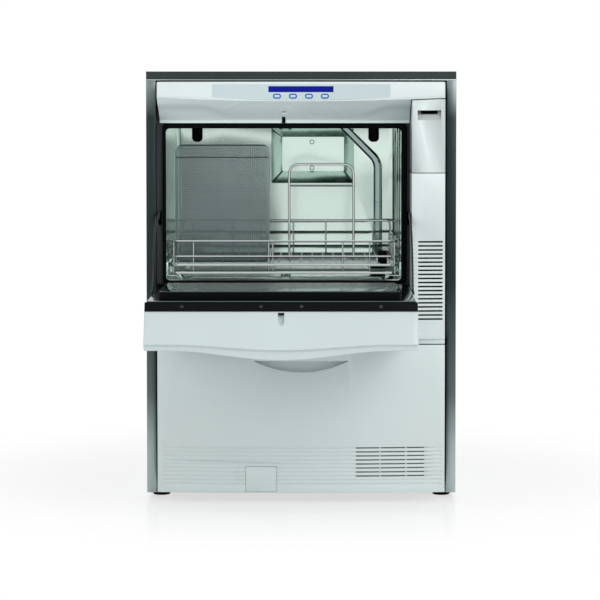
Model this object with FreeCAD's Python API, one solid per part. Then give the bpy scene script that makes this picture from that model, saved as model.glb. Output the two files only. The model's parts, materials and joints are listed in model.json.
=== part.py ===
"""Thermal washer-disinfector for instruments: floor-standing cabinet with a fold-down door.

Millimetres. The origin is the centre of the cabinet's footprint on the floor, +Z is up and the
front faces -Y. The door is modelled open, lying out level in front of the cabinet.
"""

import FreeCAD
import Part
import math
import os

# Cabinet
CABINET_WIDTH = 600.0
CABINET_DEPTH = 600.0
CABINET_HEIGHT = 828.0
SHEET = 1.5
LID_HEIGHT = 17.0
SIDE_PANEL_BOTTOM = 10.0
FRONT_RETURN = 18.5
RETURN_DEPTH = 24.0
FOOT_HEIGHT = 7.0
FOOT_RADIUS = 17.0
FOOT_INSET = 24.0
STUD_RADIUS = 5.0
STUD_HEIGHT = 20.0
PAN_EMBOSS_HALF = 90.0
PAN_EMBOSS_DEPTH = 2.0
PAN_HEIGHT = 20.0
REAR_VENT_HALF = 60.0
REAR_VENT_LEVEL = 560.0
REAR_VENT_PITCH = 15.6

# Front skin, one long shallow curve in plan
SKIN_WALL = 3.0
SKIN_CROWN = 74.0
SKIN_RADIUS = 2537.0
SKIN_DEPTH = 26.0
FRONT_HALF_WIDTH = 275.5
PANEL_GAP = 1.5

# Door and its hinge
DOOR_WIDTH = 487.5
DOOR_CENTRE = -33.25
DOOR_TOP = 774.0
DOOR_REACH = 406.5
DOOR_INNER_REACH = 362.5
DOOR_SIDE_DEPTH = 42.5
DOOR_BULGE = 17.0
DOOR_HEEL_RADIUS = 60.0
DOOR_WALL = 3.0
DOOR_SWING = 90.0
HINGE_OFFSET = 43.5
SEAL_SETBACK = 30.0
PIVOT_RADIUS = 6.0
PIVOT_CLEARANCE = 0.15
PIVOT_REACH = 16.0
BOSS_WALL = 5.0
BRACKET_THICKNESS = 2.5
BRACKET_HALF_HEIGHT = 16.0
LINER_SHEET = 2.0
PAN_RISE = 16.0
PAN_WIDTH = 432.0
PAN_CENTRE = -36.0
PAN_NEAR = 106.0
PAN_FAR = 344.0
PAN_CORNER = 16.0
SEAL_WIDTH = 2.0
SEAL_DROP = 0.5
STRIP_WIDTH = 15.5
STRIP_SETBACK = 2.4
STRIP_INSET = 0.5
STRIP_THICKNESS = 2.0
STRIP_SCREW_RADIUS = 3.4
STRIP_SCREW_OFFSETS = (-177.0, -36.0, 36.0, 177.0)
STRAP_INNER = 176.0
STRAP_OUTER = 190.0
STRAP_THICKNESS = 3.0
STRAP_END_ANGLE = 68.0
KEEPER_WIDTH = 14.0
KEEPER_NEAR = 24.0
KEEPER_FAR = 1.0
KEEPER_DEPTH = 16.0
KEEPER_WALL = 1.5
BOLT_WIDTH = 9.0
BOLT_DEPTH = 8.0
BOLT_LENGTH = 26.0
BOLT_TRAVEL = 9.0
LOCK_WIDTH = 48.0
LOCK_LIFT = 12.0
LOCK_HEADROOM = 2.0

# Fascia over the door
FASCIA_TOP = 807.0
BAND_BOTTOM = 776.0
BAND_DIP = 7.0
BAND_DEPTH = 20.0
COVE_GAP = 3.5
LABEL_LEFT = -169.0
LABEL_RIGHT = 170.0
LABEL_TOP = 802.0
LABEL_BOTTOM = 778.0
LABEL_DIP = 6.0
LABEL_PROUD = 0.6
LABEL_RECESS = 1.2
DISPLAY_HALF_WIDTH = 62.0
DISPLAY_BOTTOM = 787.0
DISPLAY_HEIGHT = 11.5
GLASS_SETBACK = 0.9
GLASS_SEAT = 2.0
BUTTON_PITCH = 30.4
BUTTON_COUNT = 4
BUTTON_HEIGHT = 779.5
BUTTON_WIDTH = 12.0
BUTTON_TALL = 6.0
BUTTON_PROUD = 1.6
BUTTON_TRAVEL = 1.0
BUTTON_FIT = 0.3
BUTTON_STEM = 9.0
BUTTON_ROUND = 0.6

# Right-hand column
COLUMN_LEFT = 212.0
COLUMN_BOTTOM = 315.0
COLUMN_SPLIT = 633.0
CARD_LEFT = 222.4
CARD_RIGHT = 267.4
CARD_TOP = 752.6
CARD_HEIGHT = 18.8
CARD_DEPTH = 7.0
CARD_SLOT_WIDTH = 30.5
CARD_SLOT_HEIGHT = 4.6
SLOT_FIT = 1.0
READER_DEPTH = 36.0
READER_WALL = 3.0
READER_DROP = 12.0
LOUVRE_LEFT = 224.0
LOUVRE_RIGHT = 271.0
LOUVRE_TOP = 503.0
LOUVRE_PITCH = 7.79
LOUVRE_SLOT = 3.2
LOUVRE_COUNT = 20
BLIND_COUNT = 3
GROOVE_DEPTH = 1.0
CROSSBAR_BOTTOM = 305.0
CROSSBAR_HEIGHT = 10.0
CROSSBAR_FRONT = 57.0
CROSSBAR_ARM = 3.0
CROSSBAR_ARM_GAP = 2.5
CROSSBAR_ARM_SETBACK = 4.0

# Chamber
TUB_LEFT = -264.0
TUB_RIGHT = 195.0
TUB_TOP = 752.0
MOUTH_TOP = 720.0
TUB_BOTTOM = 392.0
TUB_BACK = 205.0
TUB_WALL = 2.0
TUB_CORNER = 18.0
MOUTH_BOTTOM = 423.0
RECESS_DEPTH = 20.5
SILL_HEIGHT = 413.5
FLANGE_WIDTH = 5.0
GASKET_TOP = 728.0
GASKET_LIP = 2.0
GASKET_RIGHT = 206.0
GASKET_LEFT = -270.0
GASKET_BOTTOM = 414.6
GASKET_THICKNESS = 5.7
GASKET_CORNER = 8.0
ARM_AXIS_X = -34.0
ARM_AXIS_Y = -18.0
ARM_LENGTH = 410.0
ARM_WIDTH = 30.0
ARM_THICKNESS = 8.0
ARM_HUB_RADIUS = 20.0
ARM_FIT = 0.3
LOWER_ARM_HEIGHT = 405.0
UPPER_ARM_HEIGHT = 722.0
ARM_TIP_RADIUS = 11.0
ARM_TIP_DROP = 32.0
ARM_TIP_INSET = 24.0
NOZZLE_RADIUS = 3.0
NOZZLE_FIRST = 64.0
NOZZLE_PITCH = 34.0
NOZZLE_COUNT = 4
NOZZLE_DEPTH = 3.0
ARM_HUB_DROP = 2.0
SPIGOT_RADIUS = 10.0
SPIGOT_DROP = 2.0
SPIGOT_FLARE = 3.0
SPIGOT_CAP = 1.0
SUMP_RADIUS = 68.0
SUMP_LEDGE = 6.0
SUMP_DEPTH = 58.0
FILTER_WALL = 1.5
FILTER_ROOM = 6.0
POST_PROUD = 6.0
FILTER_HOLES = 12
FILTER_HOLE_RADIUS = 5.0
HEATER_RADIUS = 4.0
HEATER_LOOP = 120.0
HEATER_RISE = 6.0

# Rack that rolls in and out of the chamber
RACK_LEFT = -255.0
RACK_RIGHT = 187.0
RACK_FRONT = -245.0
RACK_BACK = 185.0
RACK_FLOOR = 447.5
RACK_WIRE = 5.0
GRID_WIRE = 3.0
GRID_PITCH = 46.0
RAIL_LEVELS = (464.0, 494.0)
REAR_RAIL_LEVEL = 518.0
ROLLER_RADIUS = 8.0
ROLLER_WIDTH = 6.0
ROLLER_AXLE = 2.5
ROLLER_SETBACK = 40.0
SUPPORT_HEIGHT = 430.0
SUPPORT_WIDTH = 12.0
RUN_GAP = 0.3
CASSETTE_LEFT = -250.0
CASSETTE_WIDTH = 196.0
CASSETTE_HEIGHT = 230.0
CASSETTE_FRONT = -196.0
CASSETTE_DEPTH = 42.0
CASSETTE_WALL = 2.0
CASSETTE_CORNER = 14.0
CASSETTE_RIM = 24.0
CASSETTE_HOLE = 9.0
CASSETTE_HOLE_PITCH = 22.0
ARCH_LEFT = -28.0
ARCH_RIGHT = 107.0
ARCH_TOP = 648.0
ARCH_CROSS = 602.0
ARCH_Y = -96.0
ARCH_BEND = 24.0
COUPLING_RADIUS = 9.0
COUPLING_X = 160.0

# Service drawer under the chamber
DRAWER_BOTTOM = 20.0
DRAWER_TOP = 303.5
DRAWER_TRAY_HALF = 236.0
DRAWER_TRAY_LENGTH = 300.0
DRAWER_TRAY_BOTTOM = 46.0
DRAWER_TRAY_HEIGHT = 70.0
TRAY_WALL = 2.0
RUNNER_HEIGHT = 30.0
RUNNER_WIDTH = 12.0
RUNNER_LEVEL = 70.0
GRIP_WIDTH = 180.0
GRIP_TOP = 274.0
GRIP_DROP = 22.0
GRIP_DEPTH = 18.0
GROOVE_LEFT = -264.0
GROOVE_RIGHT = 271.0
GROOVE_TOP = 108.0
GROOVE_PITCH = 7.73
GROOVE_HEIGHT = 2.6
GROOVE_COUNT = 10
VENT_LEFT = 105.0
VENT_RIBS = (150.0, 199.6)
VENT_RIB_WIDTH = 3.0
VENT_COUNT = 8
FLAP_LEFT = -106.0
FLAP_WIDTH = 59.0
FLAP_BOTTOM = 23.0
FLAP_HEIGHT = 48.0
FLAP_GAP = 0.6
FLAP_PIN = 1.6
FLAP_PIN_DROP = 6.0
BOTTLE_RADIUS = 66.0
BOTTLE_HEIGHT = 165.0
BOTTLE_NECK = 19.0
BOTTLE_WALL = 2.5

# Works in the base and the side bay
PUMP_X = -34.0
PUMP_Y = 120.0
PUMP_Z = 150.0
VOLUTE_RADIUS = 62.0
VOLUTE_LENGTH = 46.0
VOLUTE_WALL = 4.0
INLET_REACH = 20.0
SHAFT_ROOM = 40.0
FOOT_HALF = 40.0
FOOT_SHORT = 10.0
FOOT_SADDLE = 5.0
MOTOR_RADIUS = 48.0
MOTOR_LENGTH = 95.0
IMPELLER_RADIUS = 48.0
IMPELLER_BLADES = 6
SHAFT_RADIUS = 5.0
WHEEL_DISC = 3.0
WHEEL_HUB = 5.0
WHEEL_VANE = 2.0
HOSE_RADIUS = 16.0
HOSE_WALL = 3.0
FEED_RADIUS = 8.0
FEED_BEND = 16.0
FEED_CLIMB = 70.0
FEED_CEILING_GAP = 2.0
RISER_X = 160.0
RISER_BACK_GAP = 2.0
RISER_BEND_LEVEL = 648.0
DRAIN_X = 110.0
DRAIN_Z = 90.0
DRAIN_RADIUS = 34.0
DRAIN_SPOUT_RADIUS = 10.5
DRAIN_SPOUT_LENGTH = 32.0
SPOUT_COLLAR = 1.0
SPOUT_WALL = 2.0
DRAIN_SETBACK = 70.0
DRAIN_LENGTH = 90.0
DRAIN_FOOT = 44.0
BLOWER_X = -190.0
BLOWER_Y = 130.0
BLOWER_Z = 160.0
BLOWER_RADIUS = 70.0
BLOWER_LENGTH = 60.0
BLOWER_WALL = 3.0
BLOWER_MOTOR_RADIUS = 38.0
BLOWER_MOTOR_LENGTH = 60.0
BLOWER_EYE = 30.0
FAN_RADIUS = 54.0
FAN_BLADES = 12
AIR_FILTER_SIZE = 110.0
AIR_FILTER_DEPTH = 80.0
AIR_FILTER_HEIGHT = 88.0
FILTER_BORDER = 9.0
PLEAT_COUNT = 7
PLEAT_PITCH = 14.0
PLEAT_WIDTH = 6.0
SOFTENER_LENGTH = 230.0
SALT_CAP_RADIUS = 26.0
SALT_CAP_SETBACK = 40.0
SALT_CAP_HEIGHT = 13.0
SOFTENER_DEPTH = 70.0
SOFTENER_FRONT = 30.0
SOFTENER_WIDTH = 180.0
VALVE_THREAD_RADIUS = 13.2
VALVE_THREAD_LENGTH = 14.0
VALVE_WALL = 3.0
VALVE_BODY = 40.0
VALVE_X = 150.0
VALVE_PITCH = 60.0
VALVE_Z = 120.0
GLAND_RADIUS = 12.0
GLAND_BORE = 5.5
GLAND_NUT = 6.0
GLAND_FLANGE = 3.5
GLAND_LENGTH = 20.0
DOSING_SIZE = 46.0
DOSING_COUNT = 2
DOSING_GAP = 14.0
DOSING_CORNER = 6.0
DOSING_HEAD = 18.0
BOARD_THICKNESS = 2.0
BOARD_STANDOFF = 8.0
CONTROLLER_FRONT = -215.0
CONTROLLER_DEPTH = 190.0
CONTROLLER_BOTTOM = 465.0
CONTROLLER_HEIGHT = 230.0
CONTROLLER_INSET = 15.0
POST_RADIUS = 3.0
CHIP_ROWS = 3
CHIP_COLUMNS = 2
CHIP_SIZE = 36.0
CHIP_HEIGHT = 12.0
BOARD_CHIP = 8.0

# Places worked out from the sizes above
HALF = CABINET_WIDTH / 2
Y_FRONT = -CABINET_DEPTH / 2
Y_BACK = CABINET_DEPTH / 2
Y_SEAL = Y_FRONT + SEAL_SETBACK
Y_HINGE = Y_SEAL - HINGE_OFFSET
Z_HINGE = DOOR_TOP - DOOR_REACH
Y_CROWN = Y_FRONT - SKIN_CROWN
Y_BULKHEAD = Y_SEAL + 8.0
Y_RECESS = Y_BULKHEAD + RECESS_DEPTH
LID_BOTTOM = CABINET_HEIGHT - LID_HEIGHT
DOOR_LEFT = DOOR_CENTRE - DOOR_WIDTH / 2
DOOR_RIGHT = DOOR_CENTRE + DOOR_WIDTH / 2
END_SLOPE = (DOOR_REACH - DOOR_INNER_REACH) / (HINGE_OFFSET + DOOR_SIDE_DEPTH)
PAN_FLOOR = FOOT_HEIGHT + SHEET
HUGE = 2000.0


def vec(x, y, z):
    """Return a point."""
    return FreeCAD.Vector(x, y, z)


def box(x0, x1, y0, y1, z0, z1):
    """Return a block between two corners."""
    return Part.makeBox(x1 - x0, y1 - y0, z1 - z0, vec(x0, y0, z0))


def rod(start, direction, radius, length):
    """Return a cylinder from a point along a direction."""
    return Part.makeCylinder(radius, length, vec(*start), vec(*direction))


def ring(start, direction, outer, inner, length):
    """Return a tube from a point along a direction."""
    return rod(start, direction, outer, length).cut(rod(start, direction, inner, length))


def polygon(points, sweep):
    """Return the prism that a closed polygon sweeps along a vector."""
    corners = [vec(*p) for p in points]
    return Part.Face(Part.makePolygon(corners + corners[:1])).extrude(vec(*sweep))


def side_profile(points, x0, x1):
    """Return a prism along X from points given as (y, z)."""
    return polygon([(x0, y, z) for y, z in points], (x1 - x0, 0, 0))


def union(shapes):
    """Return several solids joined into one."""
    first, *rest = shapes
    return first.fuse(rest).removeSplitter() if rest else first


def cut_all(shape, tools):
    """Return a solid with every tool cut away."""
    return shape.cut(list(tools)) if tools else shape


def group(shapes):
    """Return separate solids held in one file."""
    return Part.makeCompound(shapes)


def rounded(x0, x1, y0, y1, z0, z1, radius, axis):
    """Return a block whose four edges along one axis are rounded."""
    block = box(x0, x1, y0, y1, z0, z1)
    edges = []
    for edge in block.Edges:
        run = edge.Vertexes[1].Point.sub(edge.Vertexes[0].Point)
        if abs(getattr(run, axis)) > 0.999 * run.Length:
            edges.append(edge)
    return block.makeFillet(radius, edges)


def front_y(x, inset=0.0):
    """Return where the front skin's curve lies at a place across the cabinet."""
    radius = SKIN_RADIUS - inset
    return Y_CROWN + SKIN_RADIUS - math.sqrt(radius**2 - x**2)


def curved_slab(x0, x1, y_back, z0, z1, curve):
    """Return an upright slab whose front follows a curve in plan."""
    middle = (x0 + x1) / 2
    ends = [vec(x, curve(x), z0) for x in (x0, middle, x1)]
    edges = [
        Part.LineSegment(vec(x0, y_back, z0), ends[0]).toShape(),
        Part.Arc(*ends).toShape(),
        Part.LineSegment(ends[2], vec(x1, y_back, z0)).toShape(),
        Part.LineSegment(vec(x1, y_back, z0), vec(x0, y_back, z0)).toShape(),
    ]
    return Part.Face(Part.Wire(edges)).extrude(vec(0, 0, z1 - z0))


def skin_slab(x0, x1, y_back, z0, z1, inset=0.0):
    """Return a slab that ends at the front skin, or a wall's depth inside it."""
    return curved_slab(x0, x1, y_back, z0, z1, lambda x: front_y(x, inset))


def bowed(x0, x1, flat, middle, far, y0, y1):
    """Return a slab along Y whose flat edge faces a shallow arc."""
    centre = (x0 + x1) / 2
    edges = [
        Part.LineSegment(vec(x0, y0, middle), vec(x0, y0, flat)).toShape(),
        Part.LineSegment(vec(x0, y0, flat), vec(x1, y0, flat)).toShape(),
        Part.LineSegment(vec(x1, y0, flat), vec(x1, y0, middle)).toShape(),
        Part.Arc(vec(x1, y0, middle), vec(centre, y0, far), vec(x0, y0, middle)).toShape(),
    ]
    return Part.Face(Part.Wire(edges)).extrude(vec(0, y1 - y0, 0))


def bent_path(points, radius):
    """Return a wire of straight runs joined by tangent arcs."""
    corners = [vec(*p) for p in points]
    edges = []
    start = corners[0]
    for before, corner, after in zip(corners, corners[1:], corners[2:]):
        back = before.sub(corner).normalize()
        ahead = after.sub(corner).normalize()
        half = back.getAngle(ahead) / 2
        trim = radius / math.tan(half)
        enter = corner.add(back * trim)
        leave = corner.add(ahead * trim)
        bisector = back.add(ahead).normalize()
        middle = corner.add(bisector * (radius / math.sin(half) - radius))
        edges.append(Part.LineSegment(start, enter).toShape())
        edges.append(Part.Arc(enter, middle, leave).toShape())
        start = leave
    edges.append(Part.LineSegment(start, corners[-1]).toShape())
    return Part.Wire(edges)


def pipe(points, bend, radius, wall=0.0):
    """Return a bent rod, or a bent tube when it has a wall."""
    path = bent_path(points, bend)
    start = vec(*points[0])
    normal = vec(*points[1]).sub(start)
    outer = path.makePipeShell([Part.Wire(Part.makeCircle(radius, start, normal))], True, False)
    if not wall:
        return outer
    bore = Part.Wire(Part.makeCircle(radius - wall, start, normal))
    return outer.cut(path.makePipeShell([bore], True, False))


def door_face_height(offset):
    """Return the height of the closed door's slanted end at a distance behind the hinge."""
    return Z_HINGE + DOOR_INNER_REACH + (HINGE_OFFSET - offset) * END_SLOPE


def end_point(offset, proud):
    """Return (y, z) a little above the closed door's slanted end."""
    scale = math.hypot(1.0, END_SLOPE)
    y = Y_HINGE + offset + proud * END_SLOPE / scale
    return y, door_face_height(offset) + proud / scale


def open_door(shape):
    """Return a piece of the closed door swung out level."""
    return shape.rotated(vec(0, Y_HINGE, Z_HINGE), vec(1, 0, 0), DOOR_SWING)


def base_pan():
    """Floor pan of the cabinet: a folded tray on the feet, its middle pressed down a little."""
    half, top = HALF - SHEET, FOOT_HEIGHT + PAN_HEIGHT
    front = Y_FRONT + RETURN_DEPTH + SHEET
    tray = box(-half, half, front, Y_BACK - SHEET, FOOT_HEIGHT, top)
    inside = box(-half + SHEET, half - SHEET, front + SHEET, Y_BACK - 2 * SHEET, PAN_FLOOR, top)
    outer, inner = PAN_EMBOSS_HALF, PAN_EMBOSS_HALF - SHEET
    low = FOOT_HEIGHT - PAN_EMBOSS_DEPTH
    emboss = box(-outer, outer, -outer, outer, low, PAN_FLOOR)
    dish = box(-inner, inner, -inner, inner, low + SHEET, top)
    holes = [rod((x, y, 0), (0, 0, 1), STUD_RADIUS + PIVOT_CLEARANCE, top) for x, y in foot_places()]
    return cut_all(tray.fuse(emboss), [inside, dish] + holes)


def foot_places():
    """Return the four feet's places."""
    x, y = HALF - SHEET - FOOT_INSET, Y_BACK - SHEET - FOOT_INSET
    front = Y_FRONT + RETURN_DEPTH + FOOT_INSET
    return [(-x, front), (x, front), (-x, y), (x, y)]


def feet():
    """Four levelling feet with threaded studs."""
    shapes = []
    for x, y in foot_places():
        pad = rod((x, y, 0), (0, 0, 1), FOOT_RADIUS, FOOT_HEIGHT)
        shapes.append(pad.fuse(rod((x, y, 0), (0, 0, 1), STUD_RADIUS, STUD_HEIGHT)))
    return group(shapes)


def side_panel(side):
    """Side panel with its front edge folded round twice."""
    z0, z1 = SIDE_PANEL_BOTTOM, LID_BOTTOM
    lip = HALF - FRONT_RETURN
    wall = box(HALF - SHEET, HALF, Y_FRONT, Y_BACK, z0, z1)
    face = box(lip, HALF, Y_FRONT, Y_FRONT + SHEET, z0, z1)
    fold = box(lip, lip + SHEET, Y_FRONT, Y_FRONT + RETURN_DEPTH, z0, z1)
    panel = union([wall, face, fold])
    return panel if side > 0 else panel.mirror(vec(0, 0, 0), vec(1, 0, 0))


def top_lid():
    """Worktop lid with its edges turned down."""
    slab = rounded(-HALF, HALF, Y_FRONT, Y_BACK, LID_BOTTOM, CABINET_HEIGHT, SHEET, "z")
    top = CABINET_HEIGHT - SHEET
    return slab.cut(box(-HALF + SHEET, HALF - SHEET, Y_FRONT + SHEET, Y_BACK - SHEET, LID_BOTTOM, top))


def rear_panel():
    """Rear sheet with holes for the services."""
    half = HALF - SHEET
    sheet = box(-half, half, Y_BACK - SHEET, Y_BACK, FOOT_HEIGHT, LID_BOTTOM)
    holes = [
        rod((x, Y_BACK - VALVE_BODY, VALVE_Z), (0, 1, 0), VALVE_THREAD_RADIUS + SHEET, HUGE)
        for x in valve_places()
    ]
    holes.append(rod((DRAIN_X, Y_FRONT, DRAIN_Z), (0, 1, 0), DRAIN_SPOUT_RADIUS + SHEET, HUGE))
    holes.append(rod((gland_x(), 0, VALVE_Z), (0, 1, 0), GLAND_RADIUS + RUN_GAP, HUGE))
    slots = []
    for row in range(VENT_COUNT):
        z = REAR_VENT_LEVEL + row * REAR_VENT_PITCH
        slots.append(
            box(-REAR_VENT_HALF, REAR_VENT_HALF, Y_BACK - 2 * SHEET, Y_BACK + SHEET, z, z + LOUVRE_SLOT)
        )
    return cut_all(sheet, holes + slots)


def front_bulkhead():
    """Front frame sheet: carries the chamber flange and steps back over the hinge."""
    half = HALF - SHEET
    upper = box(-half, half, Y_BULKHEAD, Y_BULKHEAD + SHEET, SILL_HEIGHT, LID_BOTTOM)
    shelf = box(-half, half, Y_BULKHEAD, Y_RECESS, SILL_HEIGHT, SILL_HEIGHT + SHEET)
    lower = box(-half, half, Y_RECESS - SHEET, Y_RECESS, CROSSBAR_BOTTOM, SILL_HEIGHT + SHEET)
    mouth = box(
        TUB_LEFT - TUB_WALL, TUB_RIGHT + TUB_WALL,
        Y_BULKHEAD - SHEET, Y_RECESS + SHEET,
        MOUTH_BOTTOM - TUB_WALL, MOUTH_TOP + TUB_WALL,
    )
    slots = [strap_slot(x) for x in strap_places()]
    return cut_all(union([upper, shelf, lower]), [mouth] + slots)


def strap_places():
    """Return the left edge of each check strap."""
    return [DOOR_LEFT, DOOR_RIGHT - STRAP_THICKNESS]


def strap_slot(x):
    """Clearance for one check strap where it passes the front sheet."""
    reach = Y_BULKHEAD - Y_HINGE
    low = Z_HINGE + math.sqrt(STRAP_INNER**2 - (reach + SHEET) ** 2) - 4 * SHEET
    high = Z_HINGE + math.sqrt(STRAP_OUTER**2 - reach**2) + 4 * SHEET
    return box(
        x - SHEET, x + STRAP_THICKNESS + SHEET,
        Y_BULKHEAD - SHEET, Y_BULKHEAD + 2 * SHEET, low, high,
    )


def crossbar():
    """Bar across the front between the door and the drawer, on two arms."""
    front = Y_FRONT - CROSSBAR_FRONT
    z1 = CROSSBAR_BOTTOM + CROSSBAR_HEIGHT
    half = FRONT_HALF_WIDTH
    drop = Z_HINGE - z1 - PANEL_GAP
    back = Y_HINGE - math.sqrt(DOOR_HEEL_RADIUS**2 - drop**2)
    bar = box(-half, half, front, back, CROSSBAR_BOTTOM, z1)
    start = front + CROSSBAR_ARM_SETBACK
    near = half + CROSSBAR_ARM_GAP
    far = near + CROSSBAR_ARM
    arms = []
    for side in (-1, 1):
        x0, x1, x2 = sorted((side * half, side * near, side * far))
        tie = box(x0, x2, start, back, CROSSBAR_BOTTOM, z1)
        edge = x1 if side > 0 else x0
        arms.append(tie.fuse(box(edge, edge + CROSSBAR_ARM, start, Y_RECESS - SHEET, CROSSBAR_BOTTOM, z1)))
    return union([bar] + arms)


def hinge_bracket(x, inward):
    """Bracket from the front sheet with its pivot pin reaching into the door."""
    half = BRACKET_HALF_HEIGHT
    plate = box(x, x + BRACKET_THICKNESS, Y_HINGE - half, Y_RECESS - SHEET, Z_HINGE - half, Z_HINGE + half)
    start = x + BRACKET_THICKNESS if inward > 0 else x
    reach = PIVOT_REACH + PANEL_GAP
    pin = rod((start, Y_HINGE, Z_HINGE), (inward, 0, 0), PIVOT_RADIUS, reach)
    return plate.fuse(pin)


def bracket_places():
    """Return the left edge of each hinge bracket and the way its pin points."""
    left = DOOR_LEFT - PANEL_GAP - BRACKET_THICKNESS
    right = COLUMN_LEFT + SKIN_WALL + RUN_GAP
    return [(left, 1), (right, -1)]


def hinge_brackets():
    """Both hinge brackets."""
    left, right = bracket_places()
    extra = right[0] - DOOR_RIGHT - PANEL_GAP
    long_pin = rod((right[0], Y_HINGE, Z_HINGE), (-1, 0, 0), PIVOT_RADIUS, PIVOT_REACH + extra)
    return group([hinge_bracket(*left), hinge_bracket(*right).fuse(long_pin)])


def band_solid(grow=0.0, wall=0.0):
    """Upper band of the fascia: curved front, lower edge dipping in the middle."""
    half = FRONT_HALF_WIDTH - wall + grow
    back = front_y(0) + BAND_DEPTH + grow
    low, dip = BAND_BOTTOM + wall - grow, BAND_BOTTOM - BAND_DIP + wall - grow
    slab = skin_slab(-half, half, back, dip, FASCIA_TOP - wall, wall - grow)
    return slab.common(bowed(-half, half, FASCIA_TOP - wall, low, dip, Y_CROWN - HUGE, back))


def cove_solid(wall=0.0):
    """Sloping cove between the band and the chamber mouth."""
    lift = COVE_GAP + wall
    front = front_y(0) + BAND_DEPTH + wall - SKIN_WALL
    back = Y_BULKHEAD + (SHEET if wall else 0.0)
    foot_y, foot_z = end_point(HINGE_OFFSET, lift)
    points = [
        (front, FASCIA_TOP - wall),
        (front, end_point(front - Y_HINGE, lift)[1]),
        (foot_y, foot_z),
        (back, foot_z),
        (back, FASCIA_TOP - wall),
    ]
    half = FRONT_HALF_WIDTH - wall
    return side_profile(points, -half, half)


def bolt_place():
    """Return the lock bolt's (y, lower z) when it is drawn back."""
    y = Y_HINGE + (KEEPER_NEAR + KEEPER_FAR) / 2
    return y, door_face_height(y - Y_HINGE) + COVE_GAP


def button_places():
    """Return the four buttons' places across the fascia."""
    middle = (BUTTON_COUNT - 1) / 2
    return [(i - middle) * BUTTON_PITCH for i in range(BUTTON_COUNT)]


def oval(x, z, width, tall, y0, y1):
    """Return an oval pin along Y."""
    body = rounded(x - width / 2, x + width / 2, y0, y1, z - tall / 2, z + tall / 2, tall * 0.495, "y")
    return body


def label_outline(grow, y0, y1):
    """Outline of the label insert with its bowed lower edge."""
    return bowed(
        LABEL_LEFT - grow, LABEL_RIGHT + grow, LABEL_TOP + grow,
        LABEL_BOTTOM - grow, LABEL_BOTTOM - LABEL_DIP - grow, y0, y1,
    )


def fascia_openings(y0, y1):
    """Holes through the fascia for the display and the buttons."""
    window = box(
        -DISPLAY_HALF_WIDTH, DISPLAY_HALF_WIDTH, y0, y1,
        DISPLAY_BOTTOM, DISPLAY_BOTTOM + DISPLAY_HEIGHT,
    )
    fit = 2 * BUTTON_FIT
    ovals = [
        oval(x, BUTTON_HEIGHT, BUTTON_WIDTH + fit, BUTTON_TALL + fit, y0, y1)
        for x in button_places()
    ]
    return [window] + ovals


def control_fascia():
    """Moulded fascia over the door with its cove."""
    column_room = box(
        COLUMN_LEFT - PANEL_GAP, HUGE, Y_CROWN - HUGE, Y_BULKHEAD - SHEET,
        0, DOOR_TOP + PANEL_GAP,
    )
    shell = union([band_solid(), cove_solid().cut(column_room)])
    cavity = union([band_solid(wall=SKIN_WALL), cove_solid(SKIN_WALL).cut(column_room)])
    y, z = bolt_place()
    fit = 1.0
    bolt_hole = box(
        DOOR_CENTRE - BOLT_WIDTH / 2 - fit, DOOR_CENTRE + BOLT_WIDTH / 2 + fit,
        y - BOLT_DEPTH / 2 - fit, y + BOLT_DEPTH / 2 + fit,
        z - BOLT_TRAVEL, z + BOLT_LENGTH,
    )
    recess = label_outline(0.0, Y_CROWN - HUGE, Y_FRONT)
    pocket = recess.cut(skin_slab(-HALF, HALF, Y_BACK, 0, CABINET_HEIGHT, LABEL_RECESS))
    front = fascia_openings(Y_CROWN - SHEET, Y_CROWN + 2 * SKIN_WALL + SHEET)
    return cut_all(shell.cut(cavity), [pocket, bolt_hole] + front)


def fascia_label():
    """Thin printed insert let into the fascia."""
    outline = label_outline(0.0, Y_CROWN - HUGE, Y_BACK)
    skin = skin_slab(-HALF, HALF, Y_BACK, 0, CABINET_HEIGHT, -LABEL_PROUD)
    plate = outline.common(skin.cut(skin_slab(-HALF, HALF, Y_BACK + 1, 0, CABINET_HEIGHT, LABEL_RECESS)))
    return cut_all(plate, fascia_openings(Y_CROWN - 2 * SHEET, Y_CROWN + 2 * SKIN_WALL))


def board_y():
    """Return the front face of the keypad board behind the buttons."""
    return Y_CROWN + BUTTON_STEM + BUTTON_TRAVEL + RUN_GAP + 1.0


def display_module():
    """Display glass and its board, held behind the fascia."""
    x = DISPLAY_HALF_WIDTH - RUN_GAP
    z0, z1 = DISPLAY_BOTTOM + RUN_GAP, DISPLAY_BOTTOM + DISPLAY_HEIGHT - RUN_GAP
    glass = box(-x, x, Y_CROWN + GLASS_SETBACK, board_y(), z0, z1)
    low = BUTTON_HEIGHT - BUTTON_TALL
    edge = x + BOARD_CHIP
    board = box(-edge, edge, board_y(), board_y() + BOARD_THICKNESS, low, z1 + GLASS_SEAT)
    return glass.fuse(board)


def button(index):
    """One sprung oval button."""
    x = button_places()[index]
    y0 = Y_CROWN - LABEL_PROUD - BUTTON_PROUD + front_y(x) - Y_CROWN
    cap = oval(x, BUTTON_HEIGHT, BUTTON_WIDTH, BUTTON_TALL, y0, Y_CROWN + BUTTON_STEM)
    rim = [edge for edge in cap.Edges if edge.BoundBox.YMax < y0 + 0.01]
    return cap.makeFillet(BUTTON_ROUND, rim)


def lock_bolt():
    """Bolt of the door lock."""
    y, z = bolt_place()
    half = BOLT_WIDTH / 2
    deep = BOLT_DEPTH / 2
    block = box(DOOR_CENTRE - half, DOOR_CENTRE + half, y - deep, y + deep, z, z + BOLT_LENGTH)
    low = [edge for edge in block.Edges if edge.BoundBox.ZMax < z + 0.01]
    return block.makeChamfer(1.0, low)


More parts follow.
